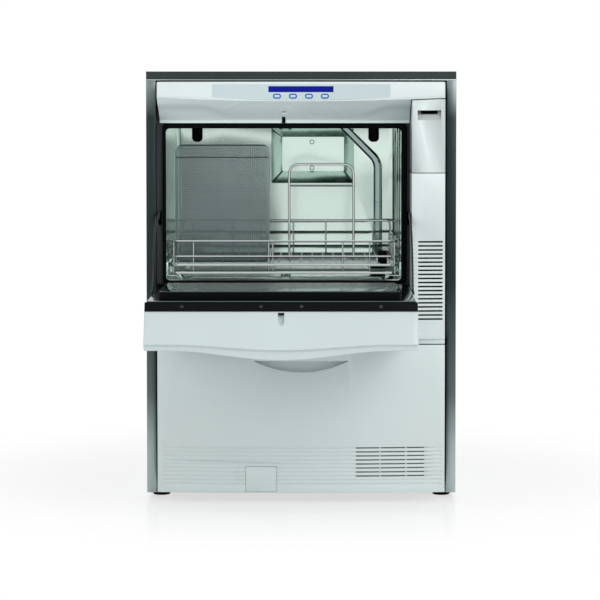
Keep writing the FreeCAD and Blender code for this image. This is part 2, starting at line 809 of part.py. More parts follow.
def door_lock():
    """Housing and drive of the door lock, on the front sheet inside the fascia."""
    y, z = bolt_place()
    bottom = z + LOCK_LIFT
    top = FASCIA_TOP - SKIN_WALL - LOCK_HEADROOM
    reach = LOCK_WIDTH / 2
    body = box(DOOR_CENTRE - reach, DOOR_CENTRE + reach, y - BOLT_DEPTH, Y_BULKHEAD, bottom, top)
    half, deep = BOLT_WIDTH / 2 + RUN_GAP, BOLT_DEPTH / 2 + RUN_GAP
    way = box(DOOR_CENTRE - half, DOOR_CENTRE + half, y - deep, y + deep, bottom, z + BOLT_LENGTH + RUN_GAP)
    return body.cut(way)


def column_profile(z0, z1, wall=0.0):
    """Upright shell section of the column, cut to the door's slanted end at the top."""
    x0, x1 = COLUMN_LEFT + wall, FRONT_HALF_WIDTH - wall
    back = Y_BULKHEAD
    slab = skin_slab(x0, x1, back + wall, z0, z1, wall)
    slope = COVE_GAP - PANEL_GAP
    top = [
        (Y_CROWN - SHEET, end_point(Y_CROWN - Y_HINGE, slope - wall)[1]),
        (Y_CROWN - SHEET, HUGE), (back + HUGE, HUGE),
        (back + HUGE, end_point(back + wall - Y_HINGE, slope - wall)[1]),
        (back + wall, end_point(back + wall - Y_HINGE, slope - wall)[1]),
    ]
    return slab.cut(side_profile(top, -HUGE, HUGE))


def column_upper_cover():
    """Upper column cover with the card recess."""
    z0 = COLUMN_SPLIT + PANEL_GAP / 2
    inside = column_profile(z0, DOOR_TOP)
    shell = inside.cut(column_profile(z0 + SKIN_WALL, DOOR_TOP - SKIN_WALL, SKIN_WALL))
    low, w = CARD_TOP - CARD_HEIGHT, SKIN_WALL
    y0 = front_y(CARD_RIGHT)
    cup = box(CARD_LEFT - w, CARD_RIGHT + w, y0, y0 + CARD_DEPTH + w, low - w, CARD_TOP + w)
    ahead, deep = Y_CROWN - SHEET, y0 + CARD_DEPTH
    recess = side_profile(
        [(ahead, CARD_TOP), (deep, CARD_TOP), (deep, CARD_TOP - CARD_HEIGHT / 2), (y0, low), (ahead, low)],
        CARD_LEFT, CARD_RIGHT,
    )
    x0, x1 = card_slot_x() - SLOT_FIT, card_slot_x() + CARD_SLOT_WIDTH + SLOT_FIT
    z1 = CARD_TOP - SLOT_FIT / 2
    slot = box(x0, x1, ahead, deep + 2 * w, z1 - CARD_SLOT_HEIGHT - 2 * SLOT_FIT, z1)
    return cut_all(union([shell, cup.common(inside)]), [recess, slot, band_solid(grow=PANEL_GAP)])


def card_slot_x():
    """Return the left edge of the card slot."""
    return (CARD_LEFT + CARD_RIGHT - CARD_SLOT_WIDTH) / 2


def card_reader():
    """Card reader whose mouth fills the slot in the column."""
    y0 = front_y(CARD_RIGHT) + CARD_DEPTH
    x0, x1 = card_slot_x(), card_slot_x() + CARD_SLOT_WIDTH
    z1 = CARD_TOP - SLOT_FIT
    z0 = z1 - CARD_SLOT_HEIGHT - SLOT_FIT
    fit, w = SLOT_FIT / 2, READER_WALL
    nose = box(x0 - fit, x1 + fit, y0 + fit, y0 + SKIN_WALL, z0, z1)
    body = box(x0 - w, x1 + w, y0 + SKIN_WALL, y0 + READER_DEPTH, z0 - READER_DROP, z1)
    slot = box(x0 + w, x1 - w, y0, y0 + READER_DEPTH - 3 * w, z0 + w / 2, z1 - w / 2)
    return union([nose, body]).cut(slot)


def column_lower_cover():
    """Lower column cover with its louvres."""
    z0, z1 = COLUMN_BOTTOM, COLUMN_SPLIT - PANEL_GAP / 2
    back = Y_BULKHEAD
    shell = skin_slab(COLUMN_LEFT, FRONT_HALF_WIDTH, back, z0, z1)
    inner = skin_slab(
        COLUMN_LEFT + SKIN_WALL, FRONT_HALF_WIDTH - SKIN_WALL, back + SHEET,
        z0 + SKIN_WALL, z1 - SKIN_WALL, SKIN_WALL,
    )
    slots = []
    for row in range(LOUVRE_COUNT + BLIND_COUNT):
        z = LOUVRE_TOP - row * LOUVRE_PITCH
        depth = HUGE if row < LOUVRE_COUNT else GROOVE_DEPTH
        face = front_y(LOUVRE_LEFT)
        end = min(face + depth, face + 3 * SKIN_WALL)
        slots.append(box(LOUVRE_LEFT, LOUVRE_RIGHT, Y_CROWN, end, z - LOUVRE_SLOT, z))
        face = front_y(COLUMN_LEFT)
        slots.append(box(COLUMN_LEFT - 1, LOUVRE_LEFT + 1, Y_CROWN, face + GROOVE_DEPTH, z - LOUVRE_SLOT, z))
    pin_hole = rod((0, Y_HINGE, Z_HINGE), (1, 0, 0), PIVOT_RADIUS + 1.0, COLUMN_LEFT + 2 * SKIN_WALL)
    return cut_all(shell.cut(inner), slots + [pin_hole])


def riser_y():
    """Return how far back the riser to the upper spray arm stands."""
    return TUB_BACK - RISER_BACK_GAP - FEED_RADIUS


def chamber_tub():
    """Stainless tub, with the neck and flange of its mouth welded to the front."""
    w = TUB_WALL
    x0, x1, y0, y1 = TUB_LEFT, TUB_RIGHT, Y_RECESS + w, TUB_BACK
    body = rounded(x0 - w, x1 + w, y0 - w, y1 + w, TUB_BOTTOM - w, TUB_TOP + w, TUB_CORNER + w, "y")
    neck = box(x0 - w, x1 + w, Y_BULKHEAD, y0 - w, MOUTH_BOTTOM - w, MOUTH_TOP + w)
    flange = box(
        x0 - FLANGE_WIDTH, x1 + FLANGE_WIDTH, Y_BULKHEAD - w, Y_BULKHEAD,
        MOUTH_BOTTOM - FLANGE_WIDTH, MOUTH_TOP + FLANGE_WIDTH,
    )
    inside = rounded(x0, x1, y0, y1, TUB_BOTTOM, TUB_TOP, TUB_CORNER, "y")
    mouth = rounded(x0, x1, Y_BULKHEAD - 2 * w, y0 + w, MOUTH_BOTTOM, MOUTH_TOP, GASKET_CORNER, "y")
    below = (ARM_AXIS_X, ARM_AXIS_Y, TUB_BOTTOM - HUGE / 2)
    sump = rod(below, (0, 0, 1), SUMP_RADIUS - SUMP_LEDGE, HUGE / 2 + w)
    holes = [(x, heater_leg_y(), HEATER_RADIUS) for x in heater_legs()]
    holes.append((RISER_X, riser_y(), FEED_RADIUS))
    drains = [rod((x, y, TUB_BOTTOM - 2 * w), (0, 0, 1), r + RUN_GAP, 4 * w) for x, y, r in holes]
    return group([cut_all(body, [inside, mouth, sump] + drains), neck.fuse(flange).cut(mouth)])


def mouth_gasket():
    """Rubber seal round the mouth."""
    y1 = Y_BULKHEAD - TUB_WALL
    y0 = y1 - GASKET_THICKNESS
    outer = rounded(
        GASKET_LEFT, GASKET_RIGHT, y0, y1, GASKET_BOTTOM, GASKET_TOP, GASKET_CORNER + GASKET_LIP, "y"
    )
    inner = rounded(
        TUB_LEFT, TUB_RIGHT, y0 - 1, y1 + 1,
        MOUTH_BOTTOM - GASKET_LIP, MOUTH_TOP - GASKET_LIP, GASKET_CORNER, "y",
    )
    return outer.cut(inner)


def sump_pot():
    """Sump under the tub with its outlet."""
    top = TUB_BOTTOM - TUB_WALL
    base = (ARM_AXIS_X, ARM_AXIS_Y, top - SUMP_DEPTH)
    pot = rod(base, (0, 0, 1), SUMP_RADIUS, SUMP_DEPTH)
    inner = rod((base[0], base[1], base[2] + 2), (0, 0, 1), SUMP_RADIUS - 2, SUMP_DEPTH)
    outlet = rod((base[0], base[1], base[2] - 14), (0, 0, 1), HOSE_RADIUS - HOSE_WALL - RUN_GAP, 16)
    bore = rod((base[0], base[1], base[2] - 15), (0, 0, 1), HOSE_RADIUS - 2 * HOSE_WALL, 20)
    return union([pot, outlet]).cut(inner).cut(bore)


def sump_filter():
    """Coarse filter in the sump with the lower arm's spigot on top."""
    top = TUB_BOTTOM + FILTER_WALL
    low = TUB_BOTTOM - SUMP_DEPTH + FILTER_ROOM
    radius = SUMP_RADIUS - FILTER_ROOM - FILTER_WALL
    cup = ring((ARM_AXIS_X, ARM_AXIS_Y, low), (0, 0, 1), radius, radius - FILTER_WALL, top - low)
    plate = rod((ARM_AXIS_X, ARM_AXIS_Y, TUB_BOTTOM), (0, 0, 1), SUMP_RADIUS, FILTER_WALL)
    rise = LOWER_ARM_HEIGHT + ARM_THICKNESS + POST_PROUD - low
    post = rod((ARM_AXIS_X, ARM_AXIS_Y, low), (0, 0, 1), SPIGOT_RADIUS, rise)
    floor = rod((ARM_AXIS_X, ARM_AXIS_Y, low), (0, 0, 1), radius, FILTER_WALL)
    holes = []
    for i in range(FILTER_HOLES):
        angle = 2 * math.pi * i / FILTER_HOLES
        x = ARM_AXIS_X + 36 * math.cos(angle)
        y = ARM_AXIS_Y + 36 * math.sin(angle)
        holes.append(rod((x, y, TUB_BOTTOM - 1), (0, 0, 1), FILTER_HOLE_RADIUS, 4))
        holes.append(rod((x, y, low - 1), (0, 0, 1), FILTER_HOLE_RADIUS, 4))
    cavity = rod((ARM_AXIS_X, ARM_AXIS_Y, low - 1), (0, 0, 1), SPIGOT_RADIUS - 3, HUGE)
    return cut_all(union([cup, plate, post, floor]), holes + [cavity])


def heater_legs():
    """Return where the heater's two ends leave the tub."""
    return [ARM_AXIS_X - 20, ARM_AXIS_X + 20]


def heater_leg_y():
    """Return how far back the heater's ends lie."""
    return ARM_AXIS_Y + HEATER_LOOP + 30


def heater_coil():
    """Tubular heater bent round the sump, its ends through the tub floor."""
    z = TUB_BOTTOM + HEATER_RISE
    x0, x1 = ARM_AXIS_X - HEATER_LOOP, ARM_AXIS_X + HEATER_LOOP
    y0, y1 = ARM_AXIS_Y - HEATER_LOOP, ARM_AXIS_Y + HEATER_LOOP
    left, right = heater_legs()
    back = heater_leg_y()
    points = [
        (left, back, TUB_BOTTOM - 24), (left, back, z), (left, y1, z), (x0, y1, z), (x0, y0, z),
        (x1, y0, z), (x1, y1, z), (right, y1, z), (right, back, z), (right, back, TUB_BOTTOM - 24),
    ]
    return pipe(points, 1.3 * HEATER_RADIUS, HEATER_RADIUS)


def spray_arm(z, up):
    """Rotating spray arm with nozzles facing the load; the upper one has down-turned ends."""
    half = ARM_LENGTH / 2
    x0, x1 = ARM_AXIS_X - half, ARM_AXIS_X + half
    y0, y1 = ARM_AXIS_Y - ARM_WIDTH / 2, ARM_AXIS_Y + ARM_WIDTH / 2
    blade = rounded(x0, x1, y0, y1, z, z + ARM_THICKNESS, ARM_WIDTH * 0.49, "z")
    below = (ARM_AXIS_X, ARM_AXIS_Y, z - ARM_HUB_DROP)
    hub = rod(below, (0, 0, 1), ARM_HUB_RADIUS, ARM_THICKNESS + ARM_HUB_DROP)
    bore = rod((ARM_AXIS_X, ARM_AXIS_Y, z - HUGE / 2), (0, 0, 1), SPIGOT_RADIUS + ARM_FIT, HUGE)
    face = z + ARM_THICKNESS - NOZZLE_DEPTH if up else z - NOZZLE_DEPTH
    nozzles = []
    tips = []
    for side in (-1, 1):
        for i in range(NOZZLE_COUNT):
            x = ARM_AXIS_X + side * (NOZZLE_FIRST + i * NOZZLE_PITCH)
            nozzles.append(rod((x, ARM_AXIS_Y, face), (0, 0, 1), NOZZLE_RADIUS, 2 * NOZZLE_DEPTH))
        if not up:
            x = ARM_AXIS_X + side * (half - ARM_TIP_INSET)
            tip = rod((x, ARM_AXIS_Y, z - ARM_TIP_DROP), (0, 0, 1), ARM_TIP_RADIUS, ARM_TIP_DROP)
            rim = [edge for edge in tip.Edges if edge.BoundBox.ZMax < z - ARM_TIP_DROP + 0.01]
            tips.append(tip.makeFillet(ARM_TIP_RADIUS * 0.8, rim))
    return cut_all(union([blade, hub] + tips), [bore] + nozzles)


def feed_pipe():
    """Pipe from the pump up through the tub floor to the spigot of the upper spray arm."""
    start = pump_outlet()
    lower = PUMP_Z + VOLUTE_RADIUS + FEED_CLIMB
    back = riser_y()
    level = TUB_TOP - FEED_CEILING_GAP - FEED_RADIUS
    points = [
        start, (start[0], start[1], lower), (RISER_X, back, lower), (RISER_X, back, RISER_BEND_LEVEL),
        (RISER_X - (level - RISER_BEND_LEVEL), back, level), (ARM_AXIS_X, ARM_AXIS_Y, level),
    ]
    tube = pipe(points, FEED_BEND, FEED_RADIUS)
    flare_z = UPPER_ARM_HEIGHT - ARM_HUB_DROP - SPIGOT_DROP
    rise = level + FEED_RADIUS + SPIGOT_CAP - flare_z
    spigot = rod((ARM_AXIS_X, ARM_AXIS_Y, flare_z), (0, 0, 1), SPIGOT_RADIUS, rise)
    foot = (ARM_AXIS_X, ARM_AXIS_Y, flare_z - SPIGOT_FLARE)
    flare = rod(foot, (0, 0, 1), SPIGOT_RADIUS + SPIGOT_FLARE, SPIGOT_FLARE)
    return union([tube, spigot, flare])


def pump_outlet():
    """Return where the feed pipe leaves the circulation pump."""
    return PUMP_X + VOLUTE_RADIUS - FEED_RADIUS, PUMP_Y + VOLUTE_LENGTH / 2, PUMP_Z + VOLUTE_RADIUS / 2


def circulation_pump():
    """Volute and motor of the circulation pump, hung under the tub on a foot."""
    y0, w = PUMP_Y, VOLUTE_WALL
    behind = y0 + VOLUTE_LENGTH
    throat = HOSE_RADIUS - 2 * HOSE_WALL
    volute = rod((PUMP_X, y0, PUMP_Z), (0, 1, 0), VOLUTE_RADIUS, VOLUTE_LENGTH)
    room = rod((PUMP_X, y0 + w, PUMP_Z), (0, 1, 0), VOLUTE_RADIUS - w, VOLUTE_LENGTH - 2 * w)
    motor = rod((PUMP_X, behind, PUMP_Z), (0, 1, 0), MOTOR_RADIUS, MOTOR_LENGTH)
    bore = rod((PUMP_X, y0, PUMP_Z), (0, 1, 0), SHAFT_RADIUS + RUN_GAP, VOLUTE_LENGTH + SHAFT_ROOM)
    mouth = (PUMP_X, y0 - INLET_REACH, PUMP_Z)
    inlet = ring(mouth, (0, 1, 0), HOSE_RADIUS - HOSE_WALL - RUN_GAP, throat, INLET_REACH + w)
    eye = rod((PUMP_X, y0 - w, PUMP_Z), (0, 1, 0), throat, 2 * w + RUN_GAP)
    foot = box(
        PUMP_X - FOOT_HALF, PUMP_X + FOOT_HALF, behind + FOOT_SHORT, behind + MOTOR_LENGTH - FOOT_SHORT,
        PAN_FLOOR, PUMP_Z - MOTOR_RADIUS + FOOT_SADDLE,
    )
    feed = rod(pump_outlet(), (0, 0, 1), FEED_RADIUS + RUN_GAP, VOLUTE_RADIUS)
    return cut_all(union([volute, motor, foot, inlet]), [room, bore, eye, feed])


def wheel(x, y, z, radius, length, blades, shaft):
    """Bladed wheel on a shaft along Y."""
    disc = rod((x, y, z), (0, 1, 0), radius, WHEEL_DISC)
    hub = rod((x, y, z), (0, 1, 0), SHAFT_RADIUS + WHEEL_HUB, length)
    axle = rod((x, y, z), (0, 1, 0), SHAFT_RADIUS, length + shaft)
    vanes = []
    half = WHEEL_VANE / 2
    for i in range(blades):
        vane = box(x + SHAFT_RADIUS + half, x + radius, y, y + length, z - half, z + half)
        vanes.append(vane.rotated(vec(x, y, z), vec(0, 1, 0), 360.0 * i / blades))
    return union([disc, hub, axle] + vanes)


def pump_impeller():
    """Impeller of the circulation pump."""
    length = VOLUTE_LENGTH - 2 * VOLUTE_WALL - 4
    return wheel(PUMP_X, PUMP_Y + VOLUTE_WALL + 2, PUMP_Z, IMPELLER_RADIUS, length, IMPELLER_BLADES, 30)


def suction_hose():
    """Hose from the sump down to the pump's inlet."""
    top = TUB_BOTTOM - TUB_WALL - SUMP_DEPTH - RUN_GAP
    points = [
        (ARM_AXIS_X, ARM_AXIS_Y, top), (ARM_AXIS_X, ARM_AXIS_Y, PUMP_Z), (PUMP_X, PUMP_Y - RUN_GAP, PUMP_Z),
    ]
    return pipe(points, 3 * HOSE_RADIUS, HOSE_RADIUS, HOSE_WALL)


def drain_pump():
    """Drain pump with its spout through the rear panel."""
    x, z, radius = DRAIN_X, DRAIN_Z, DRAIN_SPOUT_RADIUS
    y1 = Y_BACK - DRAIN_SETBACK
    body = rod((x, y1 - DRAIN_SETBACK, z), (0, 1, 0), DRAIN_RADIUS, DRAIN_LENGTH)
    half = DRAIN_FOOT / 2
    foot = box(x - half, x + half, y1 - DRAIN_FOOT, y1, PAN_FLOOR, z - DRAIN_RADIUS + FOOT_SADDLE)
    neck = rod((x, y1, z), (0, 1, 0), radius + SPOUT_COLLAR, Y_BACK - y1)
    spout = rod((x, Y_BACK - SHEET, z), (0, 1, 0), radius, SHEET + DRAIN_SPOUT_LENGTH)
    bore = rod((x, y1 + DRAIN_SETBACK / 2, z), (0, 1, 0), radius - SPOUT_WALL, HUGE)
    return union([body, foot, neck, spout]).cut(bore)


def blower_housing():
    """Scroll housing of the drying blower with its motor."""
    x, y, z, w = BLOWER_X, BLOWER_Y, BLOWER_Z, BLOWER_WALL
    body = rod((x, y, z), (0, 1, 0), BLOWER_RADIUS, BLOWER_LENGTH)
    room = rod((x, y + w, z), (0, 1, 0), BLOWER_RADIUS - w, BLOWER_LENGTH - 2 * w)
    motor = rod((x, y + BLOWER_LENGTH, z), (0, 1, 0), BLOWER_MOTOR_RADIUS, BLOWER_MOTOR_LENGTH)
    eye = rod((x, y - w, z), (0, 1, 0), BLOWER_EYE, 3 * w)
    reach = BLOWER_LENGTH + BLOWER_MOTOR_LENGTH / 2
    bore = rod((x, y, z), (0, 1, 0), SHAFT_RADIUS + RUN_GAP, reach)
    foot = box(
        x - FOOT_HALF, x + FOOT_HALF, y + FOOT_SHORT, y + BLOWER_LENGTH - FOOT_SHORT,
        PAN_FLOOR, z - BLOWER_RADIUS + 2 * FOOT_SADDLE,
    )
    return cut_all(union([body, motor, foot]), [room, eye, bore])


def blower_wheel():
    """Wheel of the drying blower."""
    return wheel(BLOWER_X, BLOWER_Y + 5, BLOWER_Z, FAN_RADIUS, BLOWER_LENGTH - 12, FAN_BLADES, 24)


def air_filter():
    """Fine filter box on top of the blower."""
    half = AIR_FILTER_SIZE / 2
    z0 = BLOWER_Z + BLOWER_RADIUS
    y0, y1 = BLOWER_Y - FILTER_BORDER * 2, BLOWER_Y + AIR_FILTER_DEPTH
    block = box(BLOWER_X - half, BLOWER_X + half, y0, y1, z0, z0 + AIR_FILTER_HEIGHT)
    pleats = []
    for i in range(PLEAT_COUNT):
        x = BLOWER_X - half + FILTER_BORDER + i * PLEAT_PITCH
        pleats.append(
            box(x, x + PLEAT_WIDTH, y0 + FILTER_BORDER, y1 - FILTER_BORDER, z0 + AIR_FILTER_HEIGHT / 2, HUGE)
        )
    return cut_all(block, pleats)


def water_softener():
    """Water softener standing in the side bay."""
    x1 = HALF - 2 * SHEET - RUN_GAP
    x0 = x1 - SOFTENER_DEPTH
    y0, y1 = SOFTENER_FRONT, SOFTENER_FRONT + SOFTENER_WIDTH
    top = PAN_FLOOR + SOFTENER_LENGTH
    block = rounded(x0, x1, y0, y1, PAN_FLOOR, top, SALT_CAP_HEIGHT, "z")
    cap = rod(((x0 + x1) / 2, y0 + SALT_CAP_SETBACK, top), (0, 0, 1), SALT_CAP_RADIUS, SALT_CAP_HEIGHT)
    return block.fuse(cap)


def dosing_pumps():
    """Two peristaltic dosing pumps on the side panel."""
    x1 = HALF - SHEET
    z = PAN_FLOOR + SOFTENER_LENGTH + DOSING_SIZE
    shapes = []
    for i in range(DOSING_COUNT):
        y = SOFTENER_FRONT + i * (DOSING_SIZE + DOSING_GAP)
        body = rounded(x1 - DOSING_SIZE, x1, y, y + DOSING_SIZE, z, z + DOSING_SIZE, DOSING_CORNER, "x")
        middle = (x1 - DOSING_SIZE - DOSING_HEAD, y + DOSING_SIZE / 2, z + DOSING_SIZE / 2)
        shapes.append(body.fuse(rod(middle, (1, 0, 0), DOSING_HEAD, DOSING_HEAD)))
    return group(shapes)


def valve_places():
    """Return the inlet valves' places across the back."""
    return [VALVE_X + VALVE_PITCH * i for i in range(2)]


def inlet_valves():
    """Two water inlet valves with threaded spigots through the rear panel."""
    shapes = []
    y1 = Y_BACK - SHEET
    for x in valve_places():
        half = VALVE_BODY / 2
        body = box(x - half, x + half, y1 - VALVE_BODY, y1, VALVE_Z - half, VALVE_Z + half)
        collar = rod((x, y1 - SHEET, VALVE_Z), (0, 1, 0), VALVE_THREAD_RADIUS + SPOUT_COLLAR, 2 * SHEET)
        spigot = rod((x, y1, VALVE_Z), (0, 1, 0), VALVE_THREAD_RADIUS, SHEET + VALVE_THREAD_LENGTH)
        bore = rod((x, y1 - SHEET, VALVE_Z), (0, 1, 0), VALVE_THREAD_RADIUS - VALVE_WALL, HUGE)
        shapes.append(union([body, collar, spigot]).cut(bore))
    return group(shapes)


def gland_x():
    """Return the mains gland's place across the back."""
    return -VALVE_X - VALVE_PITCH


def mains_gland():
    """Mains cable gland in the rear panel."""
    x, y1, z = gland_x(), Y_BACK, VALVE_Z
    inner = y1 - SHEET - GLAND_NUT
    body = rod((x, inner - GLAND_NUT, z), (0, 1, 0), GLAND_RADIUS, 2 * GLAND_NUT + SHEET + GLAND_LENGTH)
    nut = rod((x, inner, z), (0, 1, 0), GLAND_RADIUS + GLAND_FLANGE, GLAND_NUT)
    dome = rod((x, y1, z), (0, 1, 0), GLAND_RADIUS + GLAND_FLANGE, GLAND_NUT)
    bore = rod((x, inner - 2 * GLAND_NUT, z), (0, 1, 0), GLAND_BORE, HUGE)
    return union([body, nut, dome]).cut(bore)


def controller_board():
    """Controller board on the right side panel behind the column."""
    x1 = HALF - SHEET
    face = x1 - BOARD_STANDOFF - BOARD_THICKNESS
    y0, y1 = CONTROLLER_FRONT, CONTROLLER_FRONT + CONTROLLER_DEPTH
    z0, z1 = CONTROLLER_BOTTOM, CONTROLLER_BOTTOM + CONTROLLER_HEIGHT
    inset = CONTROLLER_INSET
    posts = [
        rod((x1 - BOARD_STANDOFF, y, z), (1, 0, 0), POST_RADIUS, BOARD_STANDOFF)
        for y in (y0 + inset, y1 - inset) for z in (z0 + inset, z1 - inset)
    ]
    board = box(face, face + BOARD_THICKNESS, y0, y1, z0, z1)
    chips = []
    for row in range(CHIP_ROWS):
        z = z0 + (row + 1) * CONTROLLER_HEIGHT / (CHIP_ROWS + 1)
        for column in range(CHIP_COLUMNS):
            y = y0 + (column + 1) * CONTROLLER_DEPTH / (CHIP_COLUMNS + 1)
            tall = CHIP_HEIGHT * (1 + column)
            half = CHIP_SIZE / 2
            chips.append(box(face - tall, face, y - half, y + half, z - half, z + half))
    return union([board] + posts + chips)


def door_curve(x):
    """Return where the closed door's front lies at a place across it."""
    half = DOOR_WIDTH / 2
    radius = (half**2 + DOOR_BULGE**2) / (2 * DOOR_BULGE)
    crown = Y_HINGE - DOOR_SIDE_DEPTH - DOOR_BULGE
    return crown + radius - math.sqrt(radius**2 - (x - DOOR_CENTRE) ** 2)


def door_solid(wall=0.0):
    """Closed door as one block, or the room inside its walls."""
    x0, x1 = DOOR_LEFT + wall, DOOR_RIGHT - wall
    y_in = Y_SEAL - LINER_SHEET + (LINER_SHEET if wall else 0.0)
    plan = curved_slab(x0, x1, y_in, 0, HUGE, lambda x: door_curve(x) + wall)
    radius = DOOR_HEEL_RADIUS - wall
    heel = rod((x0, Y_HINGE, Z_HINGE), (1, 0, 0), radius, x1 - x0)
    flat = Y_HINGE - DOOR_SIDE_DEPTH + wall
    crown = flat - DOOR_BULGE
    top_z = DOOR_TOP - wall
    corner = end_point(-DOOR_SIDE_DEPTH, -wall)
    inner = end_point(HINGE_OFFSET, -wall)
    heel_front = Z_HINGE - math.sqrt(radius**2 - DOOR_SIDE_DEPTH**2)
    side = [
        (flat, Z_HINGE), (crown, Z_HINGE + DOOR_REACH / 3), (crown, min(top_z, corner[1])),
        (corner[0], min(top_z, corner[1])), (y_in, inner[1] + (inner[0] - y_in) * END_SLOPE), (y_in, Z_HINGE),
    ]
    blade = side_profile(side, x0, x1)
    skirt = box(x0, x1, flat, y_in, heel_front - DOOR_HEEL_RADIUS, Z_HINGE).common(heel)
    return plan.common(union([blade, skirt]))


def keeper_pocket(grow):
    """Pocket in the door's end that takes the lock bolt."""
    x0, x1 = DOOR_CENTRE - KEEPER_WIDTH / 2 - grow, DOOR_CENTRE + KEEPER_WIDTH / 2 + grow
    y0, y1 = Y_HINGE + KEEPER_FAR - grow, Y_HINGE + KEEPER_NEAR + grow
    z = door_face_height(KEEPER_NEAR) - KEEPER_DEPTH - grow
    return box(x0, x1, y0, y1, z, DOOR_TOP + DOOR_WALL)


def door_outer_panel():
    """Door shell, open towards the liner, with pivot bosses and lock pocket."""
    shell = door_solid().cut(door_solid(DOOR_WALL))
    bosses = []
    holes = []
    for x, way in ((DOOR_LEFT, 1), (DOOR_RIGHT, -1)):
        around = PIVOT_RADIUS + BOSS_WALL
        bosses.append(rod((x, Y_HINGE, Z_HINGE), (way, 0, 0), around, PIVOT_REACH + BOSS_WALL))
        start = (x - way, Y_HINGE, Z_HINGE)
        deep = PIVOT_REACH + SHEET + PIVOT_CLEARANCE
        holes.append(rod(start, (way, 0, 0), PIVOT_RADIUS + PIVOT_CLEARANCE, deep))
    cup = keeper_pocket(KEEPER_WALL + RUN_GAP + DOOR_WALL).common(door_solid())
    band = band_solid(grow=PANEL_GAP)
    tools = holes + [band, keeper_pocket(KEEPER_WALL + RUN_GAP)]
    return open_door(cut_all(union([shell, cup] + bosses), tools))


def door_inner_pan():
    """Stainless liner sheet with its raised middle."""
    y0, y1 = Y_SEAL - LINER_SHEET, Y_SEAL
    x0, x1 = DOOR_LEFT + DOOR_WALL + RUN_GAP, DOOR_RIGHT - DOOR_WALL - RUN_GAP
    drop = Z_HINGE - math.sqrt((DOOR_HEEL_RADIUS - DOOR_WALL) ** 2 - HINGE_OFFSET**2) + 1.0
    top = door_face_height(HINGE_OFFSET) - DOOR_WALL * 1.2
    sheet = box(x0, x1, y0, y1, drop, top)
    px0, px1 = PAN_CENTRE - PAN_WIDTH / 2, PAN_CENTRE + PAN_WIDTH / 2
    z0, z1 = Z_HINGE + PAN_NEAR, Z_HINGE + PAN_FAR
    t = LINER_SHEET
    raised = rounded(px0, px1, y1 - t, y1 + PAN_RISE, z0, z1, PAN_CORNER, "y")
    hollow = rounded(px0 + t, px1 - t, y1 - 2 * t, y1 + PAN_RISE - t, z0 + t, z1 - t, PAN_CORNER - t, "y")
    return open_door(union([sheet, raised]).cut(hollow))


def door_pan_seal():
    """Rubber rim round the raised pan."""
    px0, px1 = PAN_CENTRE - PAN_WIDTH / 2, PAN_CENTRE + PAN_WIDTH / 2
    z0, z1 = Z_HINGE + PAN_NEAR, Z_HINGE + PAN_FAR
    w, y0, y1 = SEAL_WIDTH, Y_SEAL, Y_SEAL + PAN_RISE - SEAL_DROP
    outer = rounded(px0 - w, px1 + w, y0, y1, z0 - w, z1 + w, PAN_CORNER + w, "y")
    return open_door(outer.cut(rounded(px0, px1, y0 - 1, y1 + 1, z0, z1, PAN_CORNER, "y")))


def strip_offsets():
    """Return how far behind the hinge the end strip's two edges lie on the closed door."""
    near = HINGE_OFFSET - STRIP_SETBACK
    return near, near - STRIP_WIDTH


def door_edge_strip():
    """Strip along the door's free end."""
    near, far = strip_offsets()
    top = STRIP_THICKNESS
    points = [end_point(near, 0), end_point(near, top), end_point(far, top), end_point(far, 0)]
    strip = side_profile(points, DOOR_LEFT + STRIP_INSET, DOOR_RIGHT - STRIP_INSET)
    holes = [strip_screw(x, STRIP_SCREW_RADIUS - 1.2, 12.0, -8.0) for x in STRIP_SCREW_OFFSETS]
    return open_door(cut_all(strip, holes))


def strip_screw(offset, radius, length, start):
    """Cylinder square to the door's slanted end."""
    y, z = end_point(sum(strip_offsets()) / 2, start)
    return rod((DOOR_CENTRE + offset, y, z), (0, END_SLOPE, 1), radius, length)


def door_edge_screws():
    """Four screws through the strip."""
    shapes = []
    for x in STRIP_SCREW_OFFSETS:
        head = strip_screw(x, STRIP_SCREW_RADIUS, 0.9, STRIP_THICKNESS)
        shank = strip_screw(x, STRIP_SCREW_RADIUS - 1.4, STRIP_THICKNESS + 0.2, 0.0)
        shapes.append(open_door(head.fuse(shank)))
    return group(shapes)


def latch_keeper():
    """Steel cup that lines the lock pocket."""
    cup = keeper_pocket(KEEPER_WALL).cut(keeper_pocket(0.0))
    ahead = Y_HINGE - DOOR_SIDE_DEPTH * 2
    lid = side_profile(
        [(ahead, 0), (ahead, end_point(-DOOR_SIDE_DEPTH * 2, 0)[1]),
         end_point(HINGE_OFFSET, 0), (Y_HINGE + HINGE_OFFSET, 0)],
        -HUGE, HUGE,
    )
    strip_room = side_profile(
        [end_point(HINGE_OFFSET + 5, -9), end_point(HINGE_OFFSET + 5, 30),
         end_point(strip_offsets()[1] - RUN_GAP, 30), end_point(strip_offsets()[1] - RUN_GAP, -RUN_GAP)],
        -HUGE, HUGE,
    )
    return open_door(cup.common(lid).cut(strip_room))


